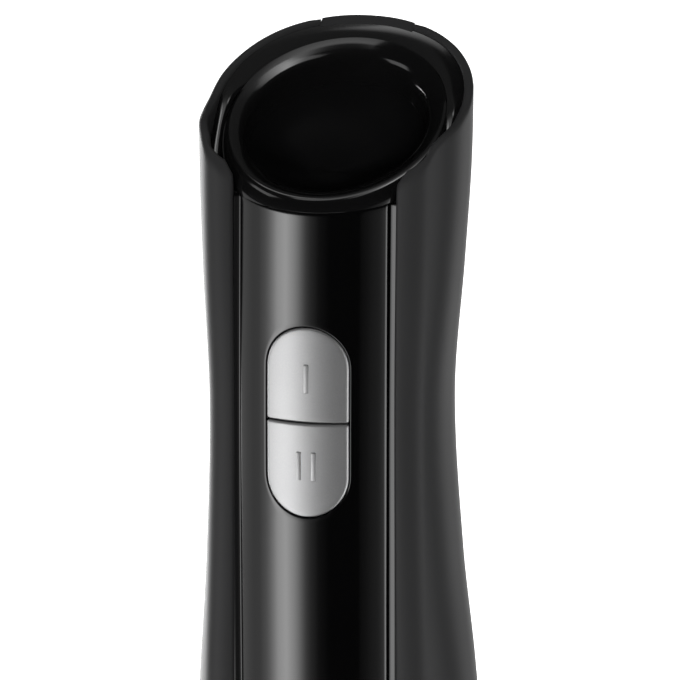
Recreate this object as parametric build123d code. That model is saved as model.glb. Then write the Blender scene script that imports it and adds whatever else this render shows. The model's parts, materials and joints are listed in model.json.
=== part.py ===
from build123d import *
import math
import os
from collections import namedtuple

# Immersion blender: a two-speed motor handle and a blending foot that pulls off.
#
# Millimetres. The drive axis is the Z axis, Z = 0 is the rim of the bell that the blender stands on,
# the two speed buttons face -Y and the cord inlet faces +Y.

# ------------------------------------------------------------------ driving dimensions

HANDLE_BOTTOM = 186.0
SKIN_BOTTOM = 208.0          # the skins end here, on the collar
BUTTONS_Z = 318.0            # the gap between the two speed buttons
BODY_TOP = 404.0             # top of the raw body, before the rim is cut

SKIN = 2.2                   # wall of the grips and the rear spine
CHASSIS_GAP = 0.3
CHASSIS_WALL = 1.7
SEAM = 0.2                   # visible gap between two skins

# The handle's outline, level by level. The front and back halves meet on the widest line, at y_mid.
Level = namedtuple("Level", "z half_width y_front y_mid y_back squareness_front squareness_back")
BODY_LEVELS = [
    Level(186, 27.5, -27.5, 0.0, 27.5, 2.0, 2.0),
    Level(200, 30.8, -30.8, 0.0, 30.8, 2.2, 2.0),
    Level(222, 33.2, -33.2, 0.0, 32.85, 2.6, 2.0),
    Level(251, 31.2, -32.4, -0.8, 30.4, 3.0, 2.1),
    Level(280, 28.6, -33.2, -3.6, 25.6, 3.2, 2.2),
    Level(318, 27.0, -33.6, -6.2, 21.0, 3.3, 2.3),
    Level(350, 29.0, -33.0, -5.0, 22.6, 3.1, 2.3),
    Level(374, 30.2, -32.4, -3.2, 25.0, 3.0, 2.2),
    Level(BODY_TOP, 30.4, -32.0, -3.0, 26.2, 3.0, 2.2),
]
SECTION_POINTS = 32

# The glossy front strip: its foremost line, level by level, and its cross-section.
STRIP_LEVELS = [(206, -31.2), (222, -32.3), (251, -32.4), (280, -32.7), (318, -32.9),
                (350, -32.3), (374, -31.7)]
STRIP_RADIUS = 26.0
STRIP_HALF = 17.2            # to the crisp edge of the strip
CHANNEL_HALF = 19.8          # to the foot of the channel beside the strip
WINDOW_HALF = 21.0           # the lips of the two grips
CHANNEL_DEPTH = 9.2          # from the strip's foremost line
STRIP_BACK = 10.4

SPINE_HALF = 11.0            # the rear spine
SPINE_PROUD = 0.35
SPINE_RISE = 1.3             # how far the spine stands above the rim

# Speed buttons.
BUTTON_HALF = 9.55
BUTTON_SLOT_HALF = 10.0
BUTTON_LENGTH = 44.2         # both together
BUTTON_GAP = 0.4
BUTTON_PROUD = 0.15
BAR_RISE, BAR_SPACING = 10.2, 3.45    # the raised bars

# The thumb dish and the rim round it.
RIM = [(-28.9, 366), (-28.5, 370), (-27.9, 373.3), (-24.6, 377.8), (-21.6, 380.1), (-17.5, 381.9),
       (-10, 383.3), (-3, 385.2), (4, 388.3), (12, 391.9), (30, 400.9)]     # the grips' rim, y and z
DISH_SLOPE = 0.515
DISH_LEVEL = 386.4           # height of the dish's top face over the drive axis
APRON_SLOPE = 0.254          # lower edge of the dish, against the front strip
APRON_LEVEL = 374.75
VALLEY_SLOPE = 0.768
VALLEY_LEVEL = 385.7
BOWL_HALF = 22.6
BOWL_LENGTH_RATIO = 1.106
BOWL_DEPTH = 13.0
BOWL_Y = -6.65
DISH_WALL = 2.2

# Chassis inside the skins.
CHASSIS_FRONT = -20.2        # its flat front wall, behind the strip
CHASSIS_TOP = 361.6
MOTOR_BAY_TOP = 290.0        # the front wall starts above the motor
BOSSES = [(23.3, 249.0), (15.5, 290.0), (13.0, 332.0), (15.5, 358.6)]    # y and z

# Collar, coupling and release buttons.
SOCKET_RADIUS = 24.6
SOCKET_BORE = 22.3
PLUG_RADIUS = 22.0
PLUG_TOP = 199.0
CLIP_Z = 197.0
CLIP_RADIUS = 25.6
CLIP_HALF = 21.6             # the clip's two straight legs, which cross the plug's groove
LEDGE_Z = 203.2
PLATE_BOTTOM, PLATE_TOP = 204.4, 206.4

# Motor.
SHAFT_RADIUS = 3.0
RUNNING_GAP = 0.04           # radial, shaft to bearing
STACK_BOTTOM, STACK_TOP = 233.0, 257.0
STACK_HALF_WIDTH, STACK_HALF_DEPTH = 25.0, 20.4
ARMATURE_RADIUS = 12.4
ARMATURE_SLOTS = 12
FAN_RADIUS, FAN_BLADES = 19.8, 9
BEARING_RADIUS, BEARING_WIDTH = 8.0, 5.0
BRIDGE_Z = 277.0
COMMUTATOR_RADIUS = 9.0
BRUSH_Z = 269.6
SCREW_X = 22.4               # the two long motor screws

# Electrics and cord inlet.
BOARD_Y = -1.6
BUTTON_CENTRES = (BUTTONS_Z + 11.0, BUTTONS_Z - 11.0)
INLET_Z = 350.0
CORD_RADIUS = 3.6
CLAMP_SCREW_X = 9.0

# Blending foot.
TUBE_RADIUS, TUBE_WALL = 15.0, 1.2
TUBE_BOTTOM, TUBE_TOP = 50.0, 175.9
BELL_WALL = 1.3
BELL_OUTLINE = [(32.5, 0.0), (32.5, 8.0), (31.4, 17.0), (28.2, 27.0), (23.6, 36.0), (19.2, 43.5),
                (16.9, 51.0), (16.4, 60.0)]
WINDOW_RADIUS, WINDOW_Z = 10.0, 4.0
BLADE_RADIUS, BLADE_Z = 24.0, 14.0

# ------------------------------------------------------------------ helpers


def block(x0, x1, y0, y1, z0, z1):
    """A box between two corners."""
    return Pos((x0 + x1) / 2, (y0 + y1) / 2, (z0 + z1) / 2) * Box(x1 - x0, y1 - y0, z1 - z0)


def rod(radius, z0, z1, x=0.0, y=0.0):
    """An upright cylinder."""
    return Pos(x, y, (z0 + z1) / 2) * Cylinder(radius, z1 - z0)


def rod_y(radius, y0, y1, x, z):
    """A cylinder along Y."""
    return Pos(x, (y0 + y1) / 2, z) * Rot(90, 0, 0) * Cylinder(radius, y1 - y0)


def rod_x(radius, x0, x1, y, z):
    """A cylinder along X."""
    return Pos((x0 + x1) / 2, y, z) * Rot(0, 90, 0) * Cylinder(radius, x1 - x0)


def ring(outer, inner, z0, z1, x=0.0, y=0.0):
    """An upright tube."""
    return rod(outer, z0, z1, x, y) - rod(inner, z0 - 1, z1 + 1, x, y)


def mirror_x(part):
    """The same part on the other side of the YZ plane."""
    return mirror(part, about=Plane.YZ)


def capsule(half, z0, z1, y0, y1, x=0.0):
    """A capsule outline in the XZ plane, extruded along Y."""
    middle = block(x - half, x + half, y0, y1, z0 + half, z1 - half)
    return middle + rod_y(half, y0, y1, x, z0 + half) + rod_y(half, y0, y1, x, z1 - half)


def side_profile(*edges):
    """A face in the YZ plane from (y, z) edges, extruded across the whole body."""
    return extrude(Plane.YZ * make_face(edges), amount=60, both=True)


def above_plane(level, slope):
    """Everything above the plane z = level + slope * y."""
    y0, y1, top = -60.0, 60.0, 480.0
    outline = Polyline((y0, level + slope * y0), (y1, level + slope * y1), (y1, top), (y0, top), close=True)
    return side_profile(outline)


def coil(radius, wire, turns, length):
    """A compression spring along +Z from Z = 0."""
    path = Helix(pitch=(length - wire) / turns, height=length - wire, radius=radius)
    start = Plane(origin=path @ 0, z_dir=path % 0)
    return Pos(0, 0, wire / 2) * sweep(start * Circle(wire / 2), path=path, is_frenet=True)


# ------------------------------------------------------------------ the handle's outline


def section_point(level, inset, angle):
    """A point of the body's outline at one level, at this angle about its widest line."""
    c, s = math.cos(angle), math.sin(angle)
    wide = level.half_width - inset
    if s < 0:
        deep, n = level.y_mid - level.y_front - inset, level.squareness_front
    else:
        deep, n = level.y_back - level.y_mid - inset, level.squareness_back
    reach = (abs(c / wide) ** n + abs(s / deep) ** n) ** (-1.0 / n)
    return (reach * c, level.y_mid + reach * s)


def body(inset):
    """The whole handle's outer form, shrunk by inset."""
    sections = []
    for level in BODY_LEVELS:
        turn = 2 * math.pi / SECTION_POINTS
        points = [section_point(level, inset, i * turn) for i in range(SECTION_POINTS)]
        outline = Spline(*points, periodic=True)
        sections.append(Pos(0, 0, level.z) * make_face(outline))
    return loft(sections)


def above_rim(rise=0.0):
    """Everything above the handle's rim, which sweeps from the lips round the sides up to the rear."""
    rim = Spline(*[(y, z + rise) for y, z in RIM], tangents=[(0, 1), (0.85, 0.5)])
    (front_y, front_z), (rear_y, rear_z) = RIM[0], RIM[-1]
    rest = Polyline((rear_y, rear_z + rise), (60, 420), (60, 480), (-60, 480), (-60, front_z + rise),
                    (front_y, front_z + rise))
    return side_profile(rim, rest)


def strip_section(y_front, half_gap):
    """The front strip's cross-section: convex face, crisp edge, channel and outer wall."""
    centre = y_front + STRIP_RADIUS
    edge_y = centre - math.sqrt(STRIP_RADIUS ** 2 - STRIP_HALF ** 2)
    inner_radius = STRIP_RADIUS - 2.0
    inner_half = STRIP_HALF - 1.2
    inner_y = centre - math.sqrt(inner_radius ** 2 - inner_half ** 2)
    floor = y_front + CHANNEL_DEPTH
    back = y_front + STRIP_BACK
    wall = WINDOW_HALF - half_gap
    face = ThreePointArc((-STRIP_HALF, edge_y), (0, y_front), (STRIP_HALF, edge_y))
    right = Polyline((STRIP_HALF, edge_y), (STRIP_HALF + 1.4, floor - 0.5), (CHANNEL_HALF, floor),
                     (wall - 0.8, y_front + 4.6), (wall, y_front + 4.0), (wall, back),
                     (inner_half, back), (inner_half, inner_y))
    inside = ThreePointArc((inner_half, inner_y), (0, y_front + 2.0), (-inner_half, inner_y))
    left = Polyline(*[(-p.X, p.Y) for p in reversed(right.vertices())])
    return make_face([face, right, inside, left])


def strip(z0, z1):
    """The strip's solid between two heights."""
    whole = loft([Pos(0, 0, z) * strip_section(y, SEAM) for z, y in STRIP_LEVELS])
    return whole & block(-40, 40, -60, 20, z0, z1)


# ------------------------------------------------------------------ skins


def front_window():
    """The opening between the two lips of the grips."""
    return block(-WINDOW_HALF, WINDOW_HALF, -60, -8, 180, 480)


def grips(shell):
    """The two soft-touch side shells."""
    spine_slot = block(-SPINE_HALF - SEAM, SPINE_HALF + SEAM, 0, 60, 180, 480)
    both = shell & block(-60, 60, -60, 60, SKIN_BOTTOM + SEAM, 480)
    both = both - front_window() - spine_slot - above_rim()
    return both & block(-60, 0, -60, 60, 0, 480), both & block(0, 60, -60, 60, 0, 480)


def rear_spine(grown, inner):
    """The strip down the back, with its air slots and the seat of the cord gland."""
    spine = (grown - inner) & block(-SPINE_HALF, SPINE_HALF, 0, 60, SKIN_BOTTOM + SEAM, 480)
    slots = [214 + 4.4 * i for i in range(7)] + [300 + 4.4 * i for i in range(6)]
    spine = spine - above_rim(SPINE_RISE) - rod_y(7.2, 0, 60, 0, INLET_Z)
    return spine - [capsule_across(7.4, 0.9, z) for z in slots]


def capsule_across(half, radius, z):
    """A slot across the spine, with round ends."""
    slot = block(-half + radius, half - radius, 5, 60, z - radius, z + radius)
    return slot + rod_y(radius, 5, 60, half - radius, z) + rod_y(radius, 5, 60, radius - half, z)


def front_fascia():
    """The glossy front strip, with the capsule opening for the two buttons."""
    low, high = BUTTONS_Z - BUTTON_LENGTH / 2 - 0.45, BUTTONS_Z + BUTTON_LENGTH / 2 + 0.45
    fascia = strip(SKIN_BOTTOM + SEAM, 374) - above_plane(APRON_LEVEL - SEAM, APRON_SLOPE)
    return fascia - capsule(BUTTON_SLOT_HALF, low, high, -60, -20)


def dish_cap():
    """The glossy top: apron, flange, raised lip and the slanted thumb bowl."""
    inner = body(SKIN + 0.1)
    centre_y = STRIP_LEVELS[-1][1] + STRIP_RADIUS
    lip = rod(STRIP_RADIUS, 362, 420, 0, centre_y)
    flange = inner & block(-40, 40, STRIP_LEVELS[-1][1] + CHANNEL_DEPTH, 40, 369, 420)
    flange = flange - above_plane(VALLEY_LEVEL, VALLEY_SLOPE)
    side_wall = block(20.0, WINDOW_HALF - SEAM, -27.6, -22, 362, 374)
    cap = lip + flange + side_wall + mirror_x(side_wall)
    cap = cap - above_plane(DISH_LEVEL, DISH_SLOPE)
    tilt = math.degrees(math.atan(DISH_SLOPE))
    radius = (BOWL_HALF ** 2 + BOWL_DEPTH ** 2) / (2 * BOWL_DEPTH)
    top = Pos(0, BOWL_Y, DISH_LEVEL + DISH_SLOPE * BOWL_Y) * Rot(tilt, 0, 0)

    def bowl(grow):
        ball = scale(Sphere(radius + grow), by=(1, BOWL_LENGTH_RATIO, 1))
        return top * Pos(0, 0, radius - BOWL_DEPTH) * ball

    hollow = body(SKIN + 2.6) & block(-40, 40, -20.5, 40, 340, 420)
    hollow = hollow - above_plane(DISH_LEVEL - DISH_WALL - 0.4, DISH_SLOPE) - bowl(DISH_WALL)
    hollow = hollow - above_plane(VALLEY_LEVEL - DISH_WALL - 0.4, VALLEY_SLOPE)
    cap = cap - bowl(0) - hollow
    return cap - (block(-60, 60, -60, -20.4, 300, 480) - above_plane(APRON_LEVEL, APRON_SLOPE))



# ------------------------------------------------------------------ speed buttons


def strip_form(grow):
    """The front strip's round form without its channels, grown or shrunk."""
    discs = [Pos(0, y + STRIP_RADIUS, z) * Circle(STRIP_RADIUS + grow) for z, y in STRIP_LEVELS]
    return loft(discs)


def speed_button(upper):
    """One half of the capsule, with its raised bars, retaining flange and stem."""
    low, high = BUTTONS_Z - BUTTON_LENGTH / 2, BUTTONS_Z + BUTTON_LENGTH / 2
    edge = BUTTON_GAP / 2
    half_z = (BUTTONS_Z + edge, 480) if upper else (0, BUTTONS_Z - edge)
    half = block(-40, 40, -60, 40, *half_z)
    centre = BUTTON_CENTRES[0] if upper else BUTTON_CENTRES[1]
    skin = capsule(BUTTON_HALF, low, high, -60, -26.4) & strip_form(BUTTON_PROUD)
    flange = capsule(11.0, low - 1.5, high + 1.5, -27.6, -26.4)
    pocket = capsule(BUTTON_HALF - 1.6, low + 1.6, high - 1.6, -30.3, -26)
    cap = (skin + flange - pocket) & half
    bars_z = BUTTONS_Z + BAR_RISE if upper else BUTTONS_Z - BAR_RISE
    for x in (0.0,) if upper else (-BAR_SPACING / 2, BAR_SPACING / 2):
        bar = block(x - 0.57, x + 0.57, -60, -31, bars_z - 3.35, bars_z + 3.35)
        cap = cap + (bar & strip_form(BUTTON_PROUD + 0.3))
    return cap + rod_y(2.0, -31, -12, 0, centre)


def button_spring(z):
    """The return spring round a button's stem."""
    return Pos(0, -30.1, z) * Rot(-90, 0, 0) * coil(3.3, 0.6, 5, 9.8)


def button_frame():
    """The guide behind the strip in which the buttons slide."""
    low, high = BUTTONS_Z - BUTTON_LENGTH / 2, BUTTONS_Z + BUTTON_LENGTH / 2
    outside = capsule(14.5, low - 5, high + 5, -25.7, -20.5)
    return outside - capsule(11.4, low - 1.9, high + 1.9, -26, -20)


# ------------------------------------------------------------------ chassis and electrics


def chassis(outer, inner):
    """The two frame halves inside the skins, with their screw bosses."""
    posts = [rod_y(3.0, 12.6, 40, x, INLET_Z + 3.2) for x in (-CLAMP_SCREW_X, CLAMP_SCREW_X)]
    for y, z in BOSSES:
        posts += [rod_x(2.6, -6, 6, y, z) + block(-6, 6, y, y + 15, z - 1.2, z + 1.2)]
    hollow = (inner & block(-60, 60, CHASSIS_FRONT + CHASSIS_WALL, 60, 200, 480)) - posts
    wall = outer & block(-60, 60, CHASSIS_FRONT, 60, SKIN_BOTTOM + 0.4, CHASSIS_TOP)
    holes = [block(-27, 27, -60, -10, 200, MOTOR_BAY_TOP), rod_y(5.4, 5, 60, 0, INLET_Z),
             block(-8, 8, 5, 60, 211, 244), block(-8, 8, 5, 60, 297, 326)]
    holes += [rod_y(2.6, -40, -10, 0, z) for z in BUTTON_CENTRES]
    holes += [rod_x(1.25, -7, 7, y, z) for y, z in BOSSES]
    holes += [rod_y(1.25, 10, 18, x, INLET_Z + 3.2) for x in (-CLAMP_SCREW_X, CLAMP_SCREW_X)]
    wall = wall - hollow - holes
    gap = 0.05
    return wall & block(-60, -gap, -60, 60, 0, 480), wall & block(gap, 60, -60, 60, 0, 480)


def chassis_screws():
    """Four screws that draw the two halves together."""
    return Compound([rod_x(1.2, -5.8, 6, y, z) + rod_x(2.3, 6, 7.8, y, z) for y, z in BOSSES])


def cord_gland():
    """The round grommet in which the cord enters."""
    gland = rod_y(7.0, 20.9, 25.0, 0, INLET_Z) + rod_y(5.2, 14.0, 21.5, 0, INLET_Z)
    return gland - rod_y(CORD_RADIUS, 10, 30, 0, INLET_Z)


def cord_clamp():
    """The saddle that holds the cord."""
    bar = block(-12, 12, 9.5, 12.5, INLET_Z, INLET_Z + 6.2) - rod_y(3.4, 5, 20, 0, INLET_Z)
    for x in (-CLAMP_SCREW_X, CLAMP_SCREW_X):
        bar = bar - rod_y(1.25, 5, 20, x, INLET_Z + 3.2)
    return bar


def clamp_screws():
    """The clamp's two screws."""
    z = INLET_Z + 3.2
    return Compound([rod_y(1.2, 9.5, 17, x, z) + rod_y(2.2, 7.6, 9.5, x, z)
                     for x in (-CLAMP_SCREW_X, CLAMP_SCREW_X)])


def speed_switch(z):
    """A microswitch on the board, with its actuator facing the button's stem."""
    return block(-6, 6, -8, BOARD_Y, z - 5, z + 5) + rod_y(1.6, -9.9, -7.5, 0, z)


def terminal_block():
    """The two-way terminal for the cord's wires."""
    whole = block(-8, 8, 0.3, 8.3, 338, 346)
    return whole - rod(2.0, 341, 350, -3.8, 4.3) - rod(2.0, 341, 350, 3.8, 4.3)


# ------------------------------------------------------------------ motor


def stator_stack():
    """The laminated stack, with a bore for the armature and four closed slots for the coils."""
    stack = block(-STACK_HALF_WIDTH, STACK_HALF_WIDTH, -STACK_HALF_DEPTH, STACK_HALF_DEPTH,
                  STACK_BOTTOM, STACK_TOP) & rod(25.5, STACK_BOTTOM, STACK_TOP)
    stack = stack - rod(ARMATURE_RADIUS + 0.5, 200, 300)
    for x0 in (-19.2, 13.0):
        for y0 in (-17.4, 13.2):
            stack = stack - block(x0, x0 + 6.2, y0, y0 + 4.2, 200, 300)
    for x in (-SCREW_X, SCREW_X):
        stack = stack - rod(1.6, 200, 300, x)
    return stack


def field_coil(side):
    """The coil round one pole; side is -1 for the front one and 1 for the rear one."""
    y0, y1 = sorted((side * 13.3, side * 17.3))
    outside = block(-19.1, 19.1, y0, y1, STACK_BOTTOM - 5, STACK_TOP + 5)
    return outside - block(-13.1, 13.1, y0 - 1, y1 + 1, STACK_BOTTOM - 0.1, STACK_TOP + 0.1)


def lower_motor_frame():
    """The plate and bearing cup under the motor, with two posts up to the stack."""
    frame = rod(26.4, PLATE_BOTTOM, PLATE_TOP) + rod(10.2, PLATE_TOP, 211.6)
    frame = frame - rod(4.2, 200, 220) - rod(BEARING_RADIUS, PLATE_TOP, 220)
    for side in (-1, 1):
        x0, x1 = sorted((side * 20.8, side * 25.4))
        frame = frame + block(x0, x1, -4, 4, PLATE_TOP, STACK_BOTTOM)
        frame = frame - rod(1.4, 224, 240, side * SCREW_X)
    for i in range(8):
        angle = math.radians(22.5 + 45 * i)
        frame = frame - rod(3.2, 200, PLATE_TOP + 0.1, 16 * math.cos(angle), 16 * math.sin(angle))
    return frame


def upper_motor_frame():
    """The cross-shaped bridge over the motor, with the upper bearing's cup."""
    bridge = block(-8, 8, -20.3, 20.3, BRIDGE_Z, BRIDGE_Z + 2.5)
    bridge = bridge + block(-21, 21, -5, 5, BRIDGE_Z, BRIDGE_Z + 2.5)
    bridge = bridge + rod(10.2, BRIDGE_Z, BRIDGE_Z + 8)
    for y0 in (-20.3, 18.0):
        bridge = bridge + block(-5, 5, y0, y0 + 2.3, STACK_TOP, BRIDGE_Z)
    return bridge - rod(4.2, 270, 290) - rod(BEARING_RADIUS, BRIDGE_Z + 3, 290)


def bearing(z):
    """A ball bearing, drawn as one ring with its two grooves."""
    race = ring(BEARING_RADIUS, SHAFT_RADIUS + RUNNING_GAP, z, z + BEARING_WIDTH)
    groove = ring(6.6, 4.6, z + BEARING_WIDTH - 0.4, z + BEARING_WIDTH + 1)
    return race - groove - ring(6.6, 4.6, z - 1, z + 0.4)


def brush_holder(side):
    """The insulated box that carries one brush; side is -1 or 1."""
    x0, x1 = sorted((side * 10.5, side * 21.0))
    box = block(x0, x1, -4, 4, BRUSH_Z - 4, BRIDGE_Z)
    c0, c1 = sorted((side * 9.0, side * 20.4))
    return box - block(c0, c1, -2.6, 2.6, BRUSH_Z - 2.6, BRUSH_Z + 2.6)


def brush(side):
    """A carbon brush."""
    x0, x1 = sorted((side * (COMMUTATOR_RADIUS + 0.15), side * 16.0))
    return block(x0, x1, -2.5, 2.5, BRUSH_Z - 2.5, BRUSH_Z + 2.5)


def brush_springs():
    """The two springs that press the brushes."""
    spring = Pos(16.2, 0, BRUSH_Z) * Rot(0, 90, 0) * coil(1.7, 0.45, 4, 4.0)
    return Compound([spring, mirror_x(spring)])


def motor_screws():
    """Two long screws through the stack into the lower frame."""
    return Compound([rod(1.35, 226, STACK_TOP, x) + rod(2.6, STACK_TOP, STACK_TOP + 2.2, x)
                     for x in (-SCREW_X, SCREW_X)])


def armature_core():
    """The armature's laminations, with open slots."""
    core = ring(ARMATURE_RADIUS, SHAFT_RADIUS, STACK_BOTTOM, STACK_TOP)
    for i in range(ARMATURE_SLOTS):
        slot = block(7.5, 14, -0.8, 0.8, STACK_BOTTOM - 1, STACK_TOP + 1)
        core = core - Rot(0, 0, i * 360 / ARMATURE_SLOTS) * slot
    return core


def armature_windings():
    """The windings: a bundle at each end, joined through the slots."""
    winding = ring(11.2, 3.8, STACK_BOTTOM - 5.5, STACK_BOTTOM)
    winding = winding + ring(11.2, 3.8, STACK_TOP, STACK_TOP + 5.5)
    for i in range(ARMATURE_SLOTS):
        bar = block(7.6, 11.2, -0.75, 0.75, STACK_BOTTOM - 1, STACK_TOP + 1)
        winding = winding + Rot(0, 0, i * 360 / ARMATURE_SLOTS) * bar
    return winding


def commutator():
    """The commutator, cut into its bars."""
    drum = ring(COMMUTATOR_RADIUS, SHAFT_RADIUS, 264.5, 275)
    for i in range(ARMATURE_SLOTS):
        drum = drum - Rot(0, 0, 15 + i * 360 / ARMATURE_SLOTS) * block(8.2, 10, -0.2, 0.2, 260, 280)
    return drum


def cooling_fan():
    """The fan: hub, disc and straight blades."""
    fan = ring(5.5, SHAFT_RADIUS, 214, 221.2) + ring(FAN_RADIUS, SHAFT_RADIUS, 220, 221.2)
    for i in range(FAN_BLADES):
        fan = fan + Rot(0, 0, i * 360 / FAN_BLADES) * block(5, FAN_RADIUS - 0.3, -0.6, 0.6, 214, 220)
    return fan


# ------------------------------------------------------------------ collar and coupling


def lower_collar(outer):
    """The handle's lower end, with windows for the two release buttons."""
    collar = outer & block(-60, 60, -60, 60, HANDLE_BOTTOM, SKIN_BOTTOM)
    collar = collar - rod(SOCKET_RADIUS + 0.2, 180, 220) - rod(27.0, LEDGE_Z, 220)
    collar = collar - rod(27.4, CLIP_Z - 1.9, CLIP_Z + 1.9)
    return collar - block(-60, 60, -6.8, 6.8, CLIP_Z - 4.6, CLIP_Z + 4.6)


def coupling_socket():
    """The ring that takes the foot's plug, slotted for the clip's legs."""
    socket = ring(SOCKET_RADIUS, SOCKET_BORE, HANDLE_BOTTOM + 0.4, LEDGE_Z)
    socket = socket + ring(SOCKET_RADIUS, 9.5, LEDGE_Z - 2, LEDGE_Z)
    for side in (-1, 1):
        y0, y1 = sorted((side * 20.0, side * 30.0))
        socket = socket - block(-15, 15, y0, y1, CLIP_Z - 0.9, CLIP_Z + 0.9)
    return socket


def latch_clip():
    """A closed spring loop: two straight legs in the plug's groove, two arcs outside the socket."""
    z0, z1, half = CLIP_Z - 0.6, CLIP_Z + 0.6, 0.6
    outside = rod(CLIP_RADIUS + half, z0, z1) & block(-40, 40, -CLIP_HALF - half, CLIP_HALF + half, z0, z1)
    inside = rod(CLIP_RADIUS - half, z0 - 1, z1 + 1)
    return outside - (inside & block(-40, 40, -CLIP_HALF + half, CLIP_HALF - half, z0 - 1, z1 + 1))


def release_button(grown, side):
    """A press pad in the collar's side, kept in by a flange; side is -1 or 1."""
    x0, x1 = sorted((side * 10, side * 60))
    pad = grown & block(x0, x1, -6.6, 6.6, CLIP_Z - 4.4, CLIP_Z + 4.4)
    flange = ring(27.3, 26.5, CLIP_Z - 1.6, CLIP_Z + 1.6) & block(x0, x1, -8.6, 8.6, 180, 220)
    return pad - rod(26.5, 180, 220) + flange


def drive_coupler():
    """The motor's half of the coupling: a hub with four wings."""
    coupler = rod(5.0, 190, 201)
    for i in range(4):
        coupler = coupler + Rot(0, 0, 90 * i) * block(0, 8, -1.2, 1.2, 190, 197)
    return coupler - rod(SHAFT_RADIUS, 192, 210)


def female_coupler():
    """The foot's half of the coupling: a cup with four ribs."""
    cup = ring(11.0, 8.4, 187, 196) + rod(11.0, 184, 187) + rod(5.0, 183.2, 185)
    for i in range(4):
        cup = cup + Rot(0, 0, 45 + 90 * i) * block(5.5, 9.5, -1.2, 1.2, 187, 196)
    return cup - rod(SHAFT_RADIUS, 180, 186)


# ------------------------------------------------------------------ blending foot


def foot_collar():
    """The plastic shoulder, with the plug on top and seats for the tube and the upper bush."""
    outside = Spline((16.6, 158), (18.4, 168), (23.6, 179), (27.2, 185.6))
    rest = Polyline((27.2, 185.6), (PLUG_RADIUS, 185.6), (PLUG_RADIUS, PLUG_TOP), (13, PLUG_TOP), (13, 182),
                    (6, 182), (6, 176), (TUBE_RADIUS, 176), (TUBE_RADIUS, 158), (16.6, 158))
    collar = revolve(Plane.XZ * make_face([outside, rest]), Axis.Z)
    return collar - ring(23, 20.7, CLIP_Z - 1.4, CLIP_Z + 1.4)


def bell_guard():
    """The steel bell, with four arched windows in its rim."""
    outer = Spline(*BELL_OUTLINE[1:], tangents=[(0, 1), (0, 1)])
    inside = [(r - BELL_WALL, z) for r, z in reversed(BELL_OUTLINE[1:])]
    inner = Spline(*inside, tangents=[(0, -1), (0, -1)])
    (foot_r, foot_z), (rim_r, rim_z), (neck_r, neck_z) = BELL_OUTLINE[0], BELL_OUTLINE[1], BELL_OUTLINE[-1]
    base = Polyline((rim_r - BELL_WALL, rim_z), (foot_r - BELL_WALL, foot_z), (foot_r, foot_z),
                    (rim_r, rim_z))
    neck = Line((neck_r, neck_z), (neck_r - BELL_WALL, neck_z))
    bell = revolve(Plane.XZ * make_face([outer, neck, inner, base]), Axis.Z)
    arch = rod_y(WINDOW_RADIUS, -60, 60, 0, WINDOW_Z)
    arch = arch + block(-WINDOW_RADIUS, WINDOW_RADIUS, -60, 60, -5, WINDOW_Z)
    return bell - arch - Rot(0, 0, 90) * arch


def blade():
    """Two swept wings on a flat middle, one turned up and one down."""
    middle = rod(8.0, BLADE_Z, BLADE_Z + 1.2)
    wing = block(6.2, BLADE_RADIUS - 1, -4.2, 4.2, -0.6, 0.6) & rod(BLADE_RADIUS - 1, -2, 2, 0, -1)
    up = Pos(0, 0, BLADE_Z + 0.6) * Rot(14, 0, 0) * wing
    down = Rot(0, 0, 180) * up
    return (middle + up + down) - rod(SHAFT_RADIUS, 0, 40)


def blade_nut():
    """The hexagon nut under the blade."""
    nut = Pos(0, 0, BLADE_Z - 4) * extrude(RegularPolygon(5.0, 6), amount=4)
    return nut - rod(SHAFT_RADIUS, 0, 40)


def circlip():
    """The retaining ring over the lower bush."""
    return ring(5.2, SHAFT_RADIUS, 65, 66) - block(0, 10, -1.2, 1.2, 60, 70)


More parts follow.
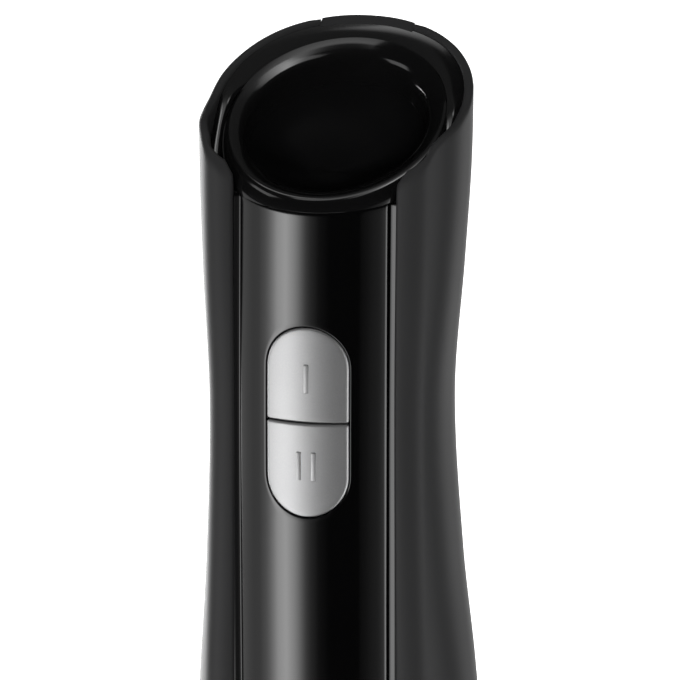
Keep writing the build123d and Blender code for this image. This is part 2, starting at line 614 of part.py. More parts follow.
if __name__ == "__main__":
    os.makedirs("parts", exist_ok=True)
    whole, grown = body(0), body(-SPINE_PROUD)
    under_skin, chassis_form = body(SKIN), body(SKIN + CHASSIS_GAP)
    chassis_inside = body(SKIN + CHASSIS_GAP + CHASSIS_WALL)
    left_grip, right_grip = grips(whole - under_skin)
    chassis_left, chassis_right = chassis(chassis_form, chassis_inside)
    button_rise = body(-0.7)
    parts = {
        "left_grip": left_grip,
        "right_grip": right_grip,
        "rear_spine": rear_spine(grown, under_skin),
        "front_fascia": front_fascia(),
        "dish_cap": dish_cap(),
        "button_frame": button_frame(),
        "button_one": speed_button(True),
        "button_two": speed_button(False),
        "button_spring_one": button_spring(BUTTON_CENTRES[0]),
        "button_spring_two": button_spring(BUTTON_CENTRES[1]),
        "chassis_left": chassis_left,
        "chassis_right": chassis_right,
        "chassis_screws": chassis_screws(),
        "cord_gland": cord_gland(),
        "cord_clamp": cord_clamp(),
        "clamp_screws": clamp_screws(),
        "terminal_block": terminal_block(),
        "control_board": block(-15, 15, BOARD_Y, 0, 296, 336),
        "capacitor": rod(5.5, 299, 321, -8, 6.2),
        "choke": ring(6.0, 2.6, 299, 306, 8.5, 6.4),
        "switch_one": speed_switch(BUTTON_CENTRES[0]),
        "switch_two": speed_switch(BUTTON_CENTRES[1]),
        "stator_stack": stator_stack(),
        "field_coil_front": field_coil(-1),
        "field_coil_rear": field_coil(1),
        "lower_motor_frame": lower_motor_frame(),
        "upper_motor_frame": upper_motor_frame(),
        "lower_bearing": bearing(PLATE_TOP),
        "upper_bearing": bearing(BRIDGE_Z + 3),
        "brush_holder_left": brush_holder(-1),
        "brush_holder_right": brush_holder(1),
        "brush_left": brush(-1),
        "brush_right": brush(1),
        "brush_springs": brush_springs(),
        "motor_screws": motor_screws(),
        "motor_mount": ring(26.4, 20, LEDGE_Z, PLATE_BOTTOM),
        "armature_shaft": rod(SHAFT_RADIUS, 192, 286),
        "armature_core": armature_core(),
        "armature_windings": armature_windings(),
        "commutator": commutator(),
        "cooling_fan": cooling_fan(),
        "drive_coupler": drive_coupler(),
        "lower_collar": lower_collar(whole),
        "coupling_socket": coupling_socket(),
        "latch_clip": latch_clip(),
        "release_button_left": release_button(button_rise, -1),
        "release_button_right": release_button(button_rise, 1),
        "foot_collar": foot_collar(),
        "foot_tube": ring(TUBE_RADIUS, TUBE_RADIUS - TUBE_WALL, TUBE_BOTTOM, TUBE_TOP),
        "bell_guard": bell_guard(),
        "upper_bush": ring(6.0, SHAFT_RADIUS + RUNNING_GAP, 176, 182),
        "lower_bush": ring(TUBE_RADIUS - TUBE_WALL, SHAFT_RADIUS + RUNNING_GAP, 54, 64),
        "shaft_seal": ring(TUBE_RADIUS - TUBE_WALL, SHAFT_RADIUS + 0.06, TUBE_BOTTOM + 0.5, 54),
        "drive_shaft": rod(SHAFT_RADIUS, BLADE_Z - 5, 186),
        "female_coupler": female_coupler(),
        "blade_hub": ring(5.5, SHAFT_RADIUS, BLADE_Z + 1.2, 24),
        "blade": blade(),
        "blade_nut": blade_nut(),
        "circlip": circlip(),
    }
    for name, part in parts.items():
        export_step(part, f"parts/{name}.step")
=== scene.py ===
"""Immersion blender: a motor handle with soft grips, a gloss strip, speed buttons and a thumb dish.

Metres in Blender. Shapes are worked out in millimetres in the handle's own frame: Z up the drive axis, the
buttons facing -Y. Every visible skin is modelled here; the collar, foot and inside stay as designed.
"""

import json
import logging
import math
from dataclasses import dataclass, field
from enum import Enum
from typing import Any, Callable, Optional, Sequence

import bmesh
import bpy
from mathutils import Matrix, Vector
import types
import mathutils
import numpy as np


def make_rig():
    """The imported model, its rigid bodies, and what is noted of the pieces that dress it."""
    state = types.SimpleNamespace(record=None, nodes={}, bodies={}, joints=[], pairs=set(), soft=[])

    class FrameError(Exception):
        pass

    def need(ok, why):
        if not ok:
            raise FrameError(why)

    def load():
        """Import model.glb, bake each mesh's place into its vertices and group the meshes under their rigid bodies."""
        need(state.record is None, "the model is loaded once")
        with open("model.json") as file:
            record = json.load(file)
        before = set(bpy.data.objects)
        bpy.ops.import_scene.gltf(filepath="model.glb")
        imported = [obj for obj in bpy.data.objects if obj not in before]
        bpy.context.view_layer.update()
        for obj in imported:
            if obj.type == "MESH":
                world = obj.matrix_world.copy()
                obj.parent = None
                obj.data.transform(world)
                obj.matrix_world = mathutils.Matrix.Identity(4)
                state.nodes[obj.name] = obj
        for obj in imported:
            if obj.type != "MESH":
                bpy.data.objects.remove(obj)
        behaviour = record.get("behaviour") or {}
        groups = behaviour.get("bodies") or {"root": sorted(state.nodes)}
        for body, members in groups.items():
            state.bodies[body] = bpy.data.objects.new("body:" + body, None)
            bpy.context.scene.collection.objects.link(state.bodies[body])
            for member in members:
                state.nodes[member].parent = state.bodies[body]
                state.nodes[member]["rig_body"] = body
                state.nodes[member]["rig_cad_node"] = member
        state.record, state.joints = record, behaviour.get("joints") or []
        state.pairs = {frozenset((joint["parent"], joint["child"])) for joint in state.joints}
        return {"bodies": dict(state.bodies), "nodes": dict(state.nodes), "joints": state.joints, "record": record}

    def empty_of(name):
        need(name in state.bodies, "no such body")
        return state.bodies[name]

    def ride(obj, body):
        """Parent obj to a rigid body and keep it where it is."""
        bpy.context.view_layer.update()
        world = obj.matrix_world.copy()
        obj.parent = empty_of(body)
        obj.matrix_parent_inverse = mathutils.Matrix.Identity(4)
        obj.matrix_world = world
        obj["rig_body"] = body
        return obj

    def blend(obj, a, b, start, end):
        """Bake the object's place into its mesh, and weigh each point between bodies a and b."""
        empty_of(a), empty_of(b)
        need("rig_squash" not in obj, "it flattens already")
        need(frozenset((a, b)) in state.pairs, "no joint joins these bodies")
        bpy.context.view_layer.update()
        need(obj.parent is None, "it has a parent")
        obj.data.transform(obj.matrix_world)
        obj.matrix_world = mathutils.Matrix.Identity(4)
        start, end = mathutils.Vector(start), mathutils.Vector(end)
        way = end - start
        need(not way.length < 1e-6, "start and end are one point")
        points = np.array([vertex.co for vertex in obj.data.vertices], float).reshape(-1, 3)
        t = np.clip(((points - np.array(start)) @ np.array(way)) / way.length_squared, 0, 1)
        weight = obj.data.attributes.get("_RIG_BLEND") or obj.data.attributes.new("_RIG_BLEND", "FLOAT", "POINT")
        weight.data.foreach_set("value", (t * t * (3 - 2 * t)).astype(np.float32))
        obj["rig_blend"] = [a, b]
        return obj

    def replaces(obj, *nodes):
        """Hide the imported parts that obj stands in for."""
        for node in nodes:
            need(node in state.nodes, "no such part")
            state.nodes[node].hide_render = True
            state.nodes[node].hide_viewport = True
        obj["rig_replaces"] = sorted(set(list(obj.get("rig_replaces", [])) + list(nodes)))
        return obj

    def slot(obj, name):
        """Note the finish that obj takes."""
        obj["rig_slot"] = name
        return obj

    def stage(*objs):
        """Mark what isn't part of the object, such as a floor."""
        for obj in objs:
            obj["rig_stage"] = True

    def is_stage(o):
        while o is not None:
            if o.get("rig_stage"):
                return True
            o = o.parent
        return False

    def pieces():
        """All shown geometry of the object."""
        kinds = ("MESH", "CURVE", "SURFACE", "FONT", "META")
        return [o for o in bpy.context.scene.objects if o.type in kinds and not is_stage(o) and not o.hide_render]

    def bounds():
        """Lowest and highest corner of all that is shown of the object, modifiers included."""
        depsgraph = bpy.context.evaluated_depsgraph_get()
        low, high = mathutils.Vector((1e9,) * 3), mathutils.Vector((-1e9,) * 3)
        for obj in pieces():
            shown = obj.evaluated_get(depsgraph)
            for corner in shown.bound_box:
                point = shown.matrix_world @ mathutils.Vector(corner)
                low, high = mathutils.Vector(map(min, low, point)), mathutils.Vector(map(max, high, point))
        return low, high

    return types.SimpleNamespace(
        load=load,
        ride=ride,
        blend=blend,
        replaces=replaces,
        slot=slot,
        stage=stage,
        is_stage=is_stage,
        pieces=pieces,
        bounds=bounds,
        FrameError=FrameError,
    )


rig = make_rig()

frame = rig.load()
CAD_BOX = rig.bounds()
MM = 0.001
SHARP_DEGREES = 50.0
log = logging.getLogger("blender_looks")


# ---------------------------------------------------------------- numbers and curves


def solve(function: Callable[[float], float], low: float, high: float) -> float:
    """Finds where a rising or falling function crosses zero.

    Args:
        function: The function of one number.
        low: One end of the bracket.
        high: The other end of the bracket.

    Returns:
        The crossing, to about a millionth of the bracket.
    """
    rising = function(high) > function(low)
    for _ in range(22):
        middle = (low + high) / 2
        if (function(middle) > 0) == rising:
            high = middle
        else:
            low = middle
    return (low + high) / 2


def blend(a: float, b: float, t: float) -> float:
    """Goes from a to b as t goes from 0 to 1."""
    return a + (b - a) * t


def smoothstep(t: float) -> float:
    """Eases t from 0 to 1, held outside that range."""
    t = min(1.0, max(0.0, t))
    return t * t * (3 - 2 * t)


class Path:
    """A smooth line through a few points, followed by its length."""

    def __init__(self, *points: Sequence[float]) -> None:
        """Stores the points and samples the line between them.

        Args:
            points: The places the line passes through, in order.
        """
        nodes = [Vector(p) for p in points]
        ends = [nodes[0] * 2 - nodes[1], *nodes, nodes[-1] * 2 - nodes[-2]]
        steps = 24
        self.samples = [
            self._between(ends[i:i + 4], k / steps) for i in range(len(nodes) - 1) for k in range(steps)]
        self.samples.append(nodes[-1])
        self.lengths = [0.0]
        for a, b in zip(self.samples, self.samples[1:]):
            self.lengths.append(self.lengths[-1] + (b - a).length)

    @staticmethod
    def _between(p: Sequence[Vector], t: float) -> Vector:
        """Gives the point at t between the second and third of four points, spaced by their own distances.

        Args:
            p: Four points in order.
            t: 0 at the second point, 1 at the third.

        Returns:
            The point on the line.
        """
        span = (p[2] - p[1]).length or 1.0
        before = (p[1] - p[0]).length or span
        after = (p[3] - p[2]).length or span
        start = (p[2] - p[0]) * (span / (span + before))
        end = (p[3] - p[1]) * (span / (span + after))
        a, b = t * t * (3 - 2 * t), t * (1 - t)
        return p[1] * (1 - a) + p[2] * a + start * (b * (1 - t)) - end * (b * t)

    def at(self, fraction: float) -> Vector:
        """Gives the point this far along the line.

        Args:
            fraction: 0 at the start, 1 at the end.

        Returns:
            The point.
        """
        goal = fraction * self.lengths[-1]
        i = 0
        while i < len(self.lengths) - 2 and self.lengths[i + 1] < goal:
            i += 1
        step = self.lengths[i + 1] - self.lengths[i]
        return self.samples[i].lerp(self.samples[i + 1], (goal - self.lengths[i]) / step if step else 0.0)

    def second_at(self, first: float) -> float:
        """Gives the second coordinate where the first one is reached, on a line that never turns back.

        Args:
            first: The first coordinate.

        Returns:
            The second coordinate, held at the ends.
        """
        points = self.samples
        if first <= points[0][0]:
            return points[0][1]
        for a, b in zip(points, points[1:]):
            if first <= b[0]:
                return blend(a[1], b[1], (first - a[0]) / ((b[0] - a[0]) or 1.0))
        return points[-1][1]


# ---------------------------------------------------------------- the handle's outer form


@dataclass(frozen=True)
class Level:
    """The handle's outline at one height: its half width and depths, and how square each half is."""
    z: float
    half_width: float
    front: float
    middle: float
    back: float
    square_front: float
    square_back: float


HANDLE_LEVELS = (
    Level(186, 27.5, -27.5, 0.0, 27.5, 2.0, 2.0),
    Level(200, 30.8, -30.8, 0.0, 30.8, 2.2, 2.0),
    Level(222, 33.2, -33.2, 0.0, 32.85, 2.6, 2.0),
    Level(251, 31.2, -32.4, -0.8, 30.4, 3.0, 2.1),
    Level(280, 28.6, -33.2, -3.6, 25.6, 3.2, 2.2),
    Level(318, 27.0, -33.6, -6.2, 21.0, 3.3, 2.3),
    Level(350, 29.0, -33.0, -5.0, 22.6, 3.1, 2.3),
    Level(374, 30.2, -32.4, -3.2, 25.0, 3.0, 2.2),
    Level(404, 30.4, -32.0, -3.0, 26.2, 3.0, 2.2),
)


@dataclass(frozen=True)
class HandleForm:
    """The smooth outer form that both grips, the rear spine and the collar follow."""
    levels: tuple[Level, ...] = HANDLE_LEVELS

    def at(self, z: float) -> Level:
        """Interpolates the outline smoothly between the given levels.

        Args:
            z: The height in millimetres.

        Returns:
            The outline at that height.
        """
        rows = self.levels
        i = 0
        while i < len(rows) - 2 and rows[i + 1].z < z:
            i += 1
        a, b = rows[i], rows[i + 1]
        before, after = rows[max(i - 1, 0)], rows[min(i + 2, len(rows) - 1)]
        t = min(1.0, max(0.0, (z - a.z) / (b.z - a.z)))
        ease, lean = t * t * (3 - 2 * t), t * (1 - t)
        numbers = []
        for name in ("half_width", "front", "middle", "back", "square_front", "square_back"):
            va, vb = getattr(a, name), getattr(b, name)
            slope_a = (vb - getattr(before, name)) / (b.z - before.z) * (b.z - a.z)
            slope_b = (getattr(after, name) - va) / (after.z - a.z) * (b.z - a.z)
            numbers.append(blend(va, vb, ease) + lean * ((1 - t) * slope_a - t * slope_b))
        return Level(z, *numbers)

    def point(self, angle: float, level: Level, inset: float = 0.0) -> Vector:
        """Gives a point of the outline.

        Args:
            angle: The direction from the widest line's centre, 0 to the right and -90 degrees to the front.
            level: The outline at the wanted height.
            inset: How far inside the outer form.

        Returns:
            The point in millimetres.
        """
        c, s = math.cos(angle), math.sin(angle)
        wide = level.half_width - inset
        if s < 0:
            deep, n = level.middle - level.front - inset, level.square_front
        else:
            deep, n = level.back - level.middle - inset, level.square_back
        reach = (abs(c / wide) ** n + abs(s / deep) ** n) ** (-1.0 / n)
        return Vector((reach * c, level.middle + reach * s, level.z))

    def angle_at_x(self, x: float, level: Level, rear: bool) -> float:
        """Finds where the right half of the outline passes a width.

        Args:
            x: The distance from the middle plane.
            level: The outline at the wanted height.
            rear: True for the rear crossing, False for the front one.

        Returns:
            The angle in radians.
        """
        end = math.pi / 2 if rear else -math.pi / 2
        return solve(lambda a: self.point(a, level).x - x, 0.0, end)

    def angle_at_y(self, y: float, level: Level) -> float:
        """Finds where the right half of the outline passes a depth, as an angle in radians."""
        return solve(lambda a: self.point(a, level).y - y, -math.pi / 2, math.pi / 2)


FORM = HandleForm()


# ---------------------------------------------------------------- meshes


def shared_edges(bm: bmesh.types.BMesh, degrees: float) -> list[bmesh.types.BMEdge]:
    """Lists the edges where two faces meet more sharply than this.

    Args:
        bm: The mesh.
        degrees: The least angle between the two faces.

    Returns:
        The sharp edges.
    """
    limit = math.radians(degrees)
    return [e for e in bm.edges if len(e.link_faces) == 2 and e.calc_face_angle(0.0) > limit]


def round_edges(bm: bmesh.types.BMesh, radius: float, degrees: float, segments: int) -> None:
    """Rounds every sharp edge.

    Args:
        bm: The mesh, in millimetres.
        radius: The bevel's width.
        degrees: Edges sharper than this are rounded.
        segments: Steps across the bevel.
    """
    bmesh.ops.bevel(bm, geom=shared_edges(bm, degrees), offset=radius, segments=segments, profile=0.5,
                    affect="EDGES", clamp_overlap=True, material=-1)


def face_along(bm: bmesh.types.BMesh, direction: Sequence[float]) -> None:
    """Turns a sheet's faces to one side.

    Args:
        bm: The sheet.
        direction: The way that most of its faces look in the end.
    """
    bmesh.ops.recalc_face_normals(bm, faces=bm.faces)
    if sum((f.normal for f in bm.faces), Vector()).dot(Vector(direction)) < 0:
        bmesh.ops.reverse_faces(bm, faces=bm.faces)


def new_edges(made: Sequence[Any]) -> list[bmesh.types.BMEdge]:
    """Picks the edges out of what an operator made."""
    return [g for g in made if isinstance(g, bmesh.types.BMEdge)]


def new_verts(made: Sequence[Any]) -> list[bmesh.types.BMVert]:
    """Picks the points out of what an operator made."""
    return [g for g in made if isinstance(g, bmesh.types.BMVert)]


def draw_rings(bm: bmesh.types.BMesh, loop: list[bmesh.types.BMEdge], count: int,
               place: Callable[[Vector, float], Sequence[float]]) -> None:
    """Extrudes a loop ring by ring.

    Args:
        bm: The mesh.
        loop: The edges that the rings grow from.
        count: How many rings.
        place: Gives a new point from its first ring's place and the share of the rings that are drawn.
    """
    starts = {v: v.co.copy() for e in loop for v in e.verts}
    for ring in range(1, count + 1):
        made = bmesh.ops.extrude_edge_only(bm, edges=loop)["geom"]
        older, starts = starts, {}
        for vert in new_verts(made):
            twin = min((e.other_vert(vert) for e in vert.link_edges if e.other_vert(vert) in older),
                       key=lambda v: (v.co - vert.co).length)
            vert.co = place(older[twin], ring / count)
            starts[vert] = older[twin]
        loop = new_edges(made)


def thicken(bm: bmesh.types.BMesh, wall: float, radius: float, segments: int = 4) -> None:
    """Gives a sheet a wall behind it, with a rounded edge that stands out from the sheet's border.

    Args:
        bm: The sheet, in millimetres, its faces turned outwards.
        wall: The wall's thickness.
        radius: The edge's rounding, up to half the wall.
        segments: Steps in each quarter round.
    """
    bm.normal_update()
    normals = {v: v.normal.copy() for v in bm.verts}
    sheet = list(bm.faces)
    loop = [e for e in bm.edges if e.is_boundary]
    anchors = {v: (v.co.copy(), normals[v], border_direction(v, normals[v])) for e in loop for v in e.verts}
    copied = bmesh.ops.duplicate(bm, geom=list(bm.verts) + list(bm.edges) + sheet)
    for new, old in copied["vert_map"].items():
        if new in normals:
            new, old = old, new
        new.co = old.co - normals[old] * wall
    bmesh.ops.reverse_faces(bm, faces=[f for f in copied["geom"] if isinstance(f, bmesh.types.BMFace)])
    quarter = [math.pi / 2 * k / segments for k in range(segments + 1)]
    profile = [(radius * math.sin(a), radius * (1 - math.cos(a))) for a in quarter]
    profile += [(out, wall - deep) for out, deep in reversed(profile)]
    for out, deep in profile[1:]:
        made = bmesh.ops.extrude_edge_only(bm, edges=loop)["geom"]
        older, anchors = anchors, {}
        for vert in new_verts(made):
            twin = next(e.other_vert(vert) for e in vert.link_edges if e.other_vert(vert) in older)
            start, normal, away = older[twin]
            vert.co = start + away * out - normal * deep
            anchors[vert] = older[twin]
        loop = new_edges(made)
    bmesh.ops.remove_doubles(bm, verts=bm.verts, dist=0.002)


def border_direction(vert: bmesh.types.BMVert, normal: Vector) -> Vector:
    """Finds the way out of a sheet at one of its border points.

    Args:
        vert: The border point.
        normal: The sheet's normal there.

    Returns:
        A unit vector along the sheet, away from it.
    """
    border = [e.other_vert(vert).co for e in vert.link_edges if e.is_boundary]
    along = border[0] - border[-1]
    away = along.cross(normal)
    inward = sum((f.calc_center_median() - vert.co for f in vert.link_faces), Vector())
    if away.dot(inward) > 0:
        away.negate()
    return away.normalized()


def new_object(name: str, bm: bmesh.types.BMesh) -> bpy.types.Object:
    """Makes an object of a mesh, which is used up."""
    mesh = bpy.data.meshes.new(name)
    bm.to_mesh(mesh)
    bm.free()
    made = bpy.data.objects.new(name, mesh)
    bpy.context.scene.collection.objects.link(made)
    return made


def add_piece(name: str, bm: bmesh.types.BMesh, body: Optional[str], slot: str, finish: "Finish",
              replaces: Sequence[str] = ()) -> bpy.types.Object:
    """Makes a piece of a mesh in millimetres.

    Args:
        name: The piece's name.
        bm: The mesh, which is used up.
        body: The body it moves with, or None for a piece that is yet to be bent between two.
        slot: The record's material slot.
        finish: What it is made of.
        replaces: The designed nodes that it stands for.

    Returns:
        The new object.
    """
    bmesh.ops.scale(bm, vec=(MM, MM, MM), verts=bm.verts)
    for face in bm.faces:
        face.smooth = True
    piece = new_object(name, bm)
    piece.data.set_sharp_from_angle(angle=math.radians(SHARP_DEGREES))
    piece.data.materials.append(finish.material())
    if body:
        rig.ride(piece, body)
    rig.slot(piece, slot)
    if replaces:
        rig.replaces(piece, *replaces)
    log.info("%s: %d faces", name, len(piece.data.polygons))
    return piece


# ---------------------------------------------------------------- shader maths


class Value:
    """A number socket whose operators add Math nodes."""

    def __init__(self, net: "Net", socket: Any) -> None:
        """Wraps a socket.

        Args:
            net: The node network that it belongs to.
            socket: The output socket.
        """
        self.net, self.socket = net, socket

    def _math(self, operation: str, first: Any, second: Any) -> "Value":
        """Adds one Math node.

        Args:
            operation: The node's operation.
            first: Its first value or socket.
            second: Its second value or socket.

        Returns:
            The node's result.
        """
        return self.net.node("ShaderNodeMath", {"operation": operation}, {0: first, 1: second})

    def __add__(self, other: Any) -> "Value":
        """Adds."""
        return self._math("ADD", self, other)

    __radd__ = __add__

    def __mul__(self, other: Any) -> "Value":
        """Multiplies."""
        return self._math("MULTIPLY", self, other)

    __rmul__ = __mul__


class Net:
    """The nodes of one material."""

    def __init__(self, tree: bpy.types.NodeTree) -> None:
        """Starts with an empty tree."""
        self.tree = tree
        tree.nodes.clear()

    @staticmethod
    def of_material(name: str) -> tuple[bpy.types.Material, "Net"]:
        """Makes a material and its empty network."""
        made = bpy.data.materials.new(name)
        made.use_nodes = True
        return made, Net(made.node_tree)

    def surface(self, shader: Value) -> None:
        """Ends the material with its surface."""
        self.node("ShaderNodeOutputMaterial", {}, {"Surface": shader})

    def node(self, kind: str, settings: dict[str, Any], sockets: dict[Any, Any], output: Any = 0) -> Value:
        """Adds any node.

        Args:
            kind: The node's type.
            settings: Its own properties, or a ramp's stops under "stops".
            sockets: Values or links by input name or number.
            output: Which output to return.

        Returns:
            The wrapped output.
        """
        made = self.tree.nodes.new(kind)
        for name, value in settings.items():
            if name == "stops":
                ramp = made.color_ramp.elements
                for i, (place, colour) in enumerate(value):
                    stop = ramp[i] if i < 2 else ramp.new(place)
                    stop.position, stop.color = place, (*colour, 1.0)
            else:
                setattr(made, name, value)
        for name, value in sockets.items():
            if isinstance(value, Value):
                self.tree.links.new(value.socket, made.inputs[name])
            else:
                made.inputs[name].default_value = value
        return Value(self, made.outputs[output] if made.outputs else None)

    def place(self, stretch: Sequence[float] = (1, 1, 1)) -> Value:
        """Gives object coordinates, stretched.

        Args:
            stretch: The scale along each axis.

        Returns:
            The coordinates.
        """
        where = self.node("ShaderNodeTexCoord", {}, {}, "Object")
        return self.node("ShaderNodeMapping", {}, {"Vector": where, "Scale": tuple(stretch)})

    def noise(self, scale: float, detail: float = 3.0, stretch: Sequence[float] = (1, 1, 1),
              rough: float = 0.5) -> Value:
        """Gives a noise between 0 and 1.

        Args:
            scale: Features per metre.
            detail: Octaves.
            stretch: The scale along each axis.
            rough: How strong the fine octaves are.

        Returns:
            The noise.
        """
        return self.node("ShaderNodeTexNoise", {}, {"Vector": self.place(stretch), "Scale": scale,
                                                    "Detail": detail, "Roughness": rough})

    def mix(self, factor: Any, first: Sequence[float], second: Sequence[float]) -> Value:
        """Mixes two colours.

        Args:
            factor: 0 for the first, 1 for the second.
            first: The first colour.
            second: The second colour.

        Returns:
            The mixed colour.
        """
        sockets = {0: factor, 6: (*first, 1), 7: (*second, 1)}
        return self.node("ShaderNodeMix", {"data_type": "RGBA"}, sockets, 2)


# ---------------------------------------------------------------- finishes


class Grain(Enum):
    """The patterns that a finish can have."""
    MOULDED = "moulded"
    POLISHED = "polished"
    FLAKED = "flaked"
    BRUSHED_ROUND = "brushed round"
    LAMINATED = "laminated"
    WOUND = "wound"


MADE: dict[str, bpy.types.Material] = {}
WAVES_TO_BANDS = 6.28


@dataclass(frozen=True)
class Finish:
    """What a piece is made of.

    The colour drifts towards the second colour over the surface. Grain size and height are in millimetres.
    A bare heart is a round patch without the coat: the Y of its middle and the radii where the coat starts
    and is full.
    """
    name: str
    colour: tuple[float, float, float]
    second: tuple[float, float, float]
    roughness: float
    spread: float = 0.06
    metallic: float = 0.0
    coat: float = 0.0
    coat_roughness: float = 0.05
    specular: float = 0.5
    bare_heart: tuple[float, float, float] | None = None
    grain: Grain = Grain.MOULDED
    size: float = 0.25
    height: float = 0.01

    def material(self) -> bpy.types.Material:
        """Gives the finish's material, made once."""
        if self.name not in MADE:
            MADE[self.name] = self._make()
        return MADE[self.name]

    def _pattern(self, net: Net) -> Value:
        """Makes the fine pattern that bump, colour and roughness share.

        Args:
            net: The material's nodes.

        Returns:
            The pattern, between 0 and 1.
        """
        fine = 1000.0 / self.size
        if self.grain is Grain.FLAKED:
            sockets = {"Vector": net.place(), "Scale": fine}
            return net.node("ShaderNodeTexVoronoi", {"feature": "F1"}, sockets, "Color")
        if self.grain is Grain.BRUSHED_ROUND:
            return net.noise(fine, 4.0, (0.03, 0.03, 1.0), 0.6)
        if self.grain in (Grain.LAMINATED, Grain.WOUND):
            sockets = {"Vector": net.place(), "Scale": fine / WAVES_TO_BANDS, "Distortion": 0.4}
            return net.node("ShaderNodeTexWave", {"bands_direction": "Z"}, sockets, "Fac")
        return net.noise(fine, 3.0)

    def _coat_weight(self, net: Net) -> float | Value:
        """Gives the coat's weight, which a bare heart lacks.

        Args:
            net: The material's nodes.

        Returns:
            The weight, as a number or a socket.
        """
        if self.bare_heart is None:
            return self.coat
        middle, start, full = self.bare_heart
        where = net.node("ShaderNodeTexCoord", {}, {}, "Object")
        flat = net.node("ShaderNodeMapping", {}, {"Vector": where, "Location": (0, -middle * MM, 0),
                                                  "Scale": (1, 1, 0)})
        reach = net.node("ShaderNodeVectorMath", {"operation": "LENGTH"}, {0: flat}, "Value")
        sockets = {"Value": reach, "From Min": start * MM, "From Max": full * MM, "To Max": self.coat}
        return net.node("ShaderNodeMapRange", {"interpolation_type": "SMOOTHSTEP"}, sockets)

    def _make(self) -> bpy.types.Material:
        """Builds the node network.

        Returns:
            The new material.
        """
        made, net = Net.of_material(self.name)
        pattern = self._pattern(net)
        drift = net.noise(28.0, 4.0)
        if self.grain is Grain.POLISHED:
            factor, roughness = drift, drift * self.spread + (self.roughness - self.spread / 2)
        else:
            factor = drift * 0.5 + pattern * 0.5
            roughness = pattern * self.spread + (self.roughness - self.spread / 2)
        colour = net.mix(factor, self.colour, self.second)
        sockets = {"Base Color": colour, "Roughness": roughness, "Metallic": self.metallic,
                   "Coat Weight": self._coat_weight(net), "Coat Roughness": self.coat_roughness,
                   "Specular IOR Level": self.specular}
        if self.height:
            sockets["Normal"] = net.node("ShaderNodeBump", {}, {"Strength": 1.0, "Height": pattern,
                                                                "Distance": self.height * MM})
        net.surface(net.node("ShaderNodeBsdfPrincipled", {}, sockets))
        return made


SOFT_TOUCH = Finish("soft_touch_black", (0.0165, 0.0165, 0.0169), (0.0215, 0.0215, 0.0220), 0.50, 0.10,
    specular=0.09, size=0.22, height=0.006)
GLOSS = Finish("high_gloss_black", (0.0008, 0.0008, 0.0009), (0.0016, 0.0016, 0.0017), 0.10, 0.03,
    coat=0.0, grain=Grain.POLISHED, height=0.0)
DISH_GLOSS = Finish("dish_gloss_black", (0.0024, 0.0024, 0.0025), (0.0034, 0.0034, 0.0036), 0.45, 0.08,
    coat=1.0, coat_roughness=0.09, specular=0.03, bare_heart=(-5.9, 18.6, 21.2), grain=Grain.POLISHED,
    height=0.0)
SATIN_SILVER = Finish("satin_silver_paint", (0.26, 0.26, 0.265), (0.36, 0.36, 0.36), 0.50, 0.12,
    metallic=0.85, coat=0.1, coat_roughness=0.2, grain=Grain.FLAKED, size=0.16, height=0.0012)
BLACK_PLASTIC = Finish("textured_black_plastic", (0.014, 0.014, 0.0145), (0.02, 0.02, 0.0205), 0.42,
    0.12, size=0.35, height=0.012)
GREY_PLASTIC = Finish("frame_grey_plastic", (0.15, 0.15, 0.155), (0.19, 0.19, 0.19), 0.5, 0.1, size=0.5,
    height=0.01)
NYLON = Finish("natural_nylon", (0.68, 0.66, 0.60), (0.76, 0.74, 0.69), 0.42, 0.1, size=0.6,
    height=0.008)
BOARD = Finish("solder_mask_green", (0.012, 0.10, 0.035), (0.02, 0.16, 0.06), 0.3, 0.15, size=1.2,
    height=0.01)
FILM = Finish("dipped_film", (0.62, 0.36, 0.02), (0.72, 0.45, 0.04), 0.28, 0.1, size=2.0, height=0.02)
FERRITE = Finish("moulded_ferrite", (0.03, 0.03, 0.032), (0.06, 0.06, 0.06), 0.6, 0.2, size=0.4,
    height=0.02)
RUBBER = Finish("black_rubber", (0.015, 0.015, 0.015), (0.024, 0.024, 0.024), 0.68, 0.12, size=0.3,
    height=0.012)
SPRING_WIRE = Finish("drawn_spring_wire", (0.42, 0.42, 0.43), (0.6, 0.6, 0.6), 0.3, 0.15, metallic=1.0,
    size=0.2, height=0.002)
ZINC = Finish("zinc_plate", (0.55, 0.56, 0.55), (0.7, 0.69, 0.62), 0.34, 0.15, metallic=1.0, size=0.7,
    height=0.003)
LAMINATION = Finish("stamped_lamination", (0.16, 0.16, 0.17), (0.32, 0.31, 0.30), 0.5, 0.2,
    metallic=0.9, grain=Grain.LAMINATED, size=0.5, height=0.06)
COPPER = Finish("enamelled_copper", (0.45, 0.13, 0.04), (0.72, 0.30, 0.12), 0.3, 0.15, metallic=0.8,
    grain=Grain.WOUND, size=0.45, height=0.12)
BEARING_STEEL = Finish("ground_steel", (0.5, 0.5, 0.51), (0.62, 0.62, 0.63), 0.22, 0.1, metallic=1.0,
    grain=Grain.BRUSHED_ROUND, size=0.3, height=0.001)
CARBON = Finish("pressed_carbon", (0.02, 0.02, 0.021), (0.05, 0.05, 0.052), 0.5, 0.2, metallic=0.2,
    size=0.25, height=0.02)
STAINLESS = Finish("brushed_stainless", (0.50, 0.49, 0.475), (0.64, 0.63, 0.61), 0.28, 0.16,
    metallic=1.0, grain=Grain.BRUSHED_ROUND, size=0.16, height=0.0015)
BRONZE = Finish("sintered_bronze", (0.36, 0.22, 0.09), (0.52, 0.34, 0.16), 0.42, 0.15, metallic=0.9,
    size=0.3, height=0.01)

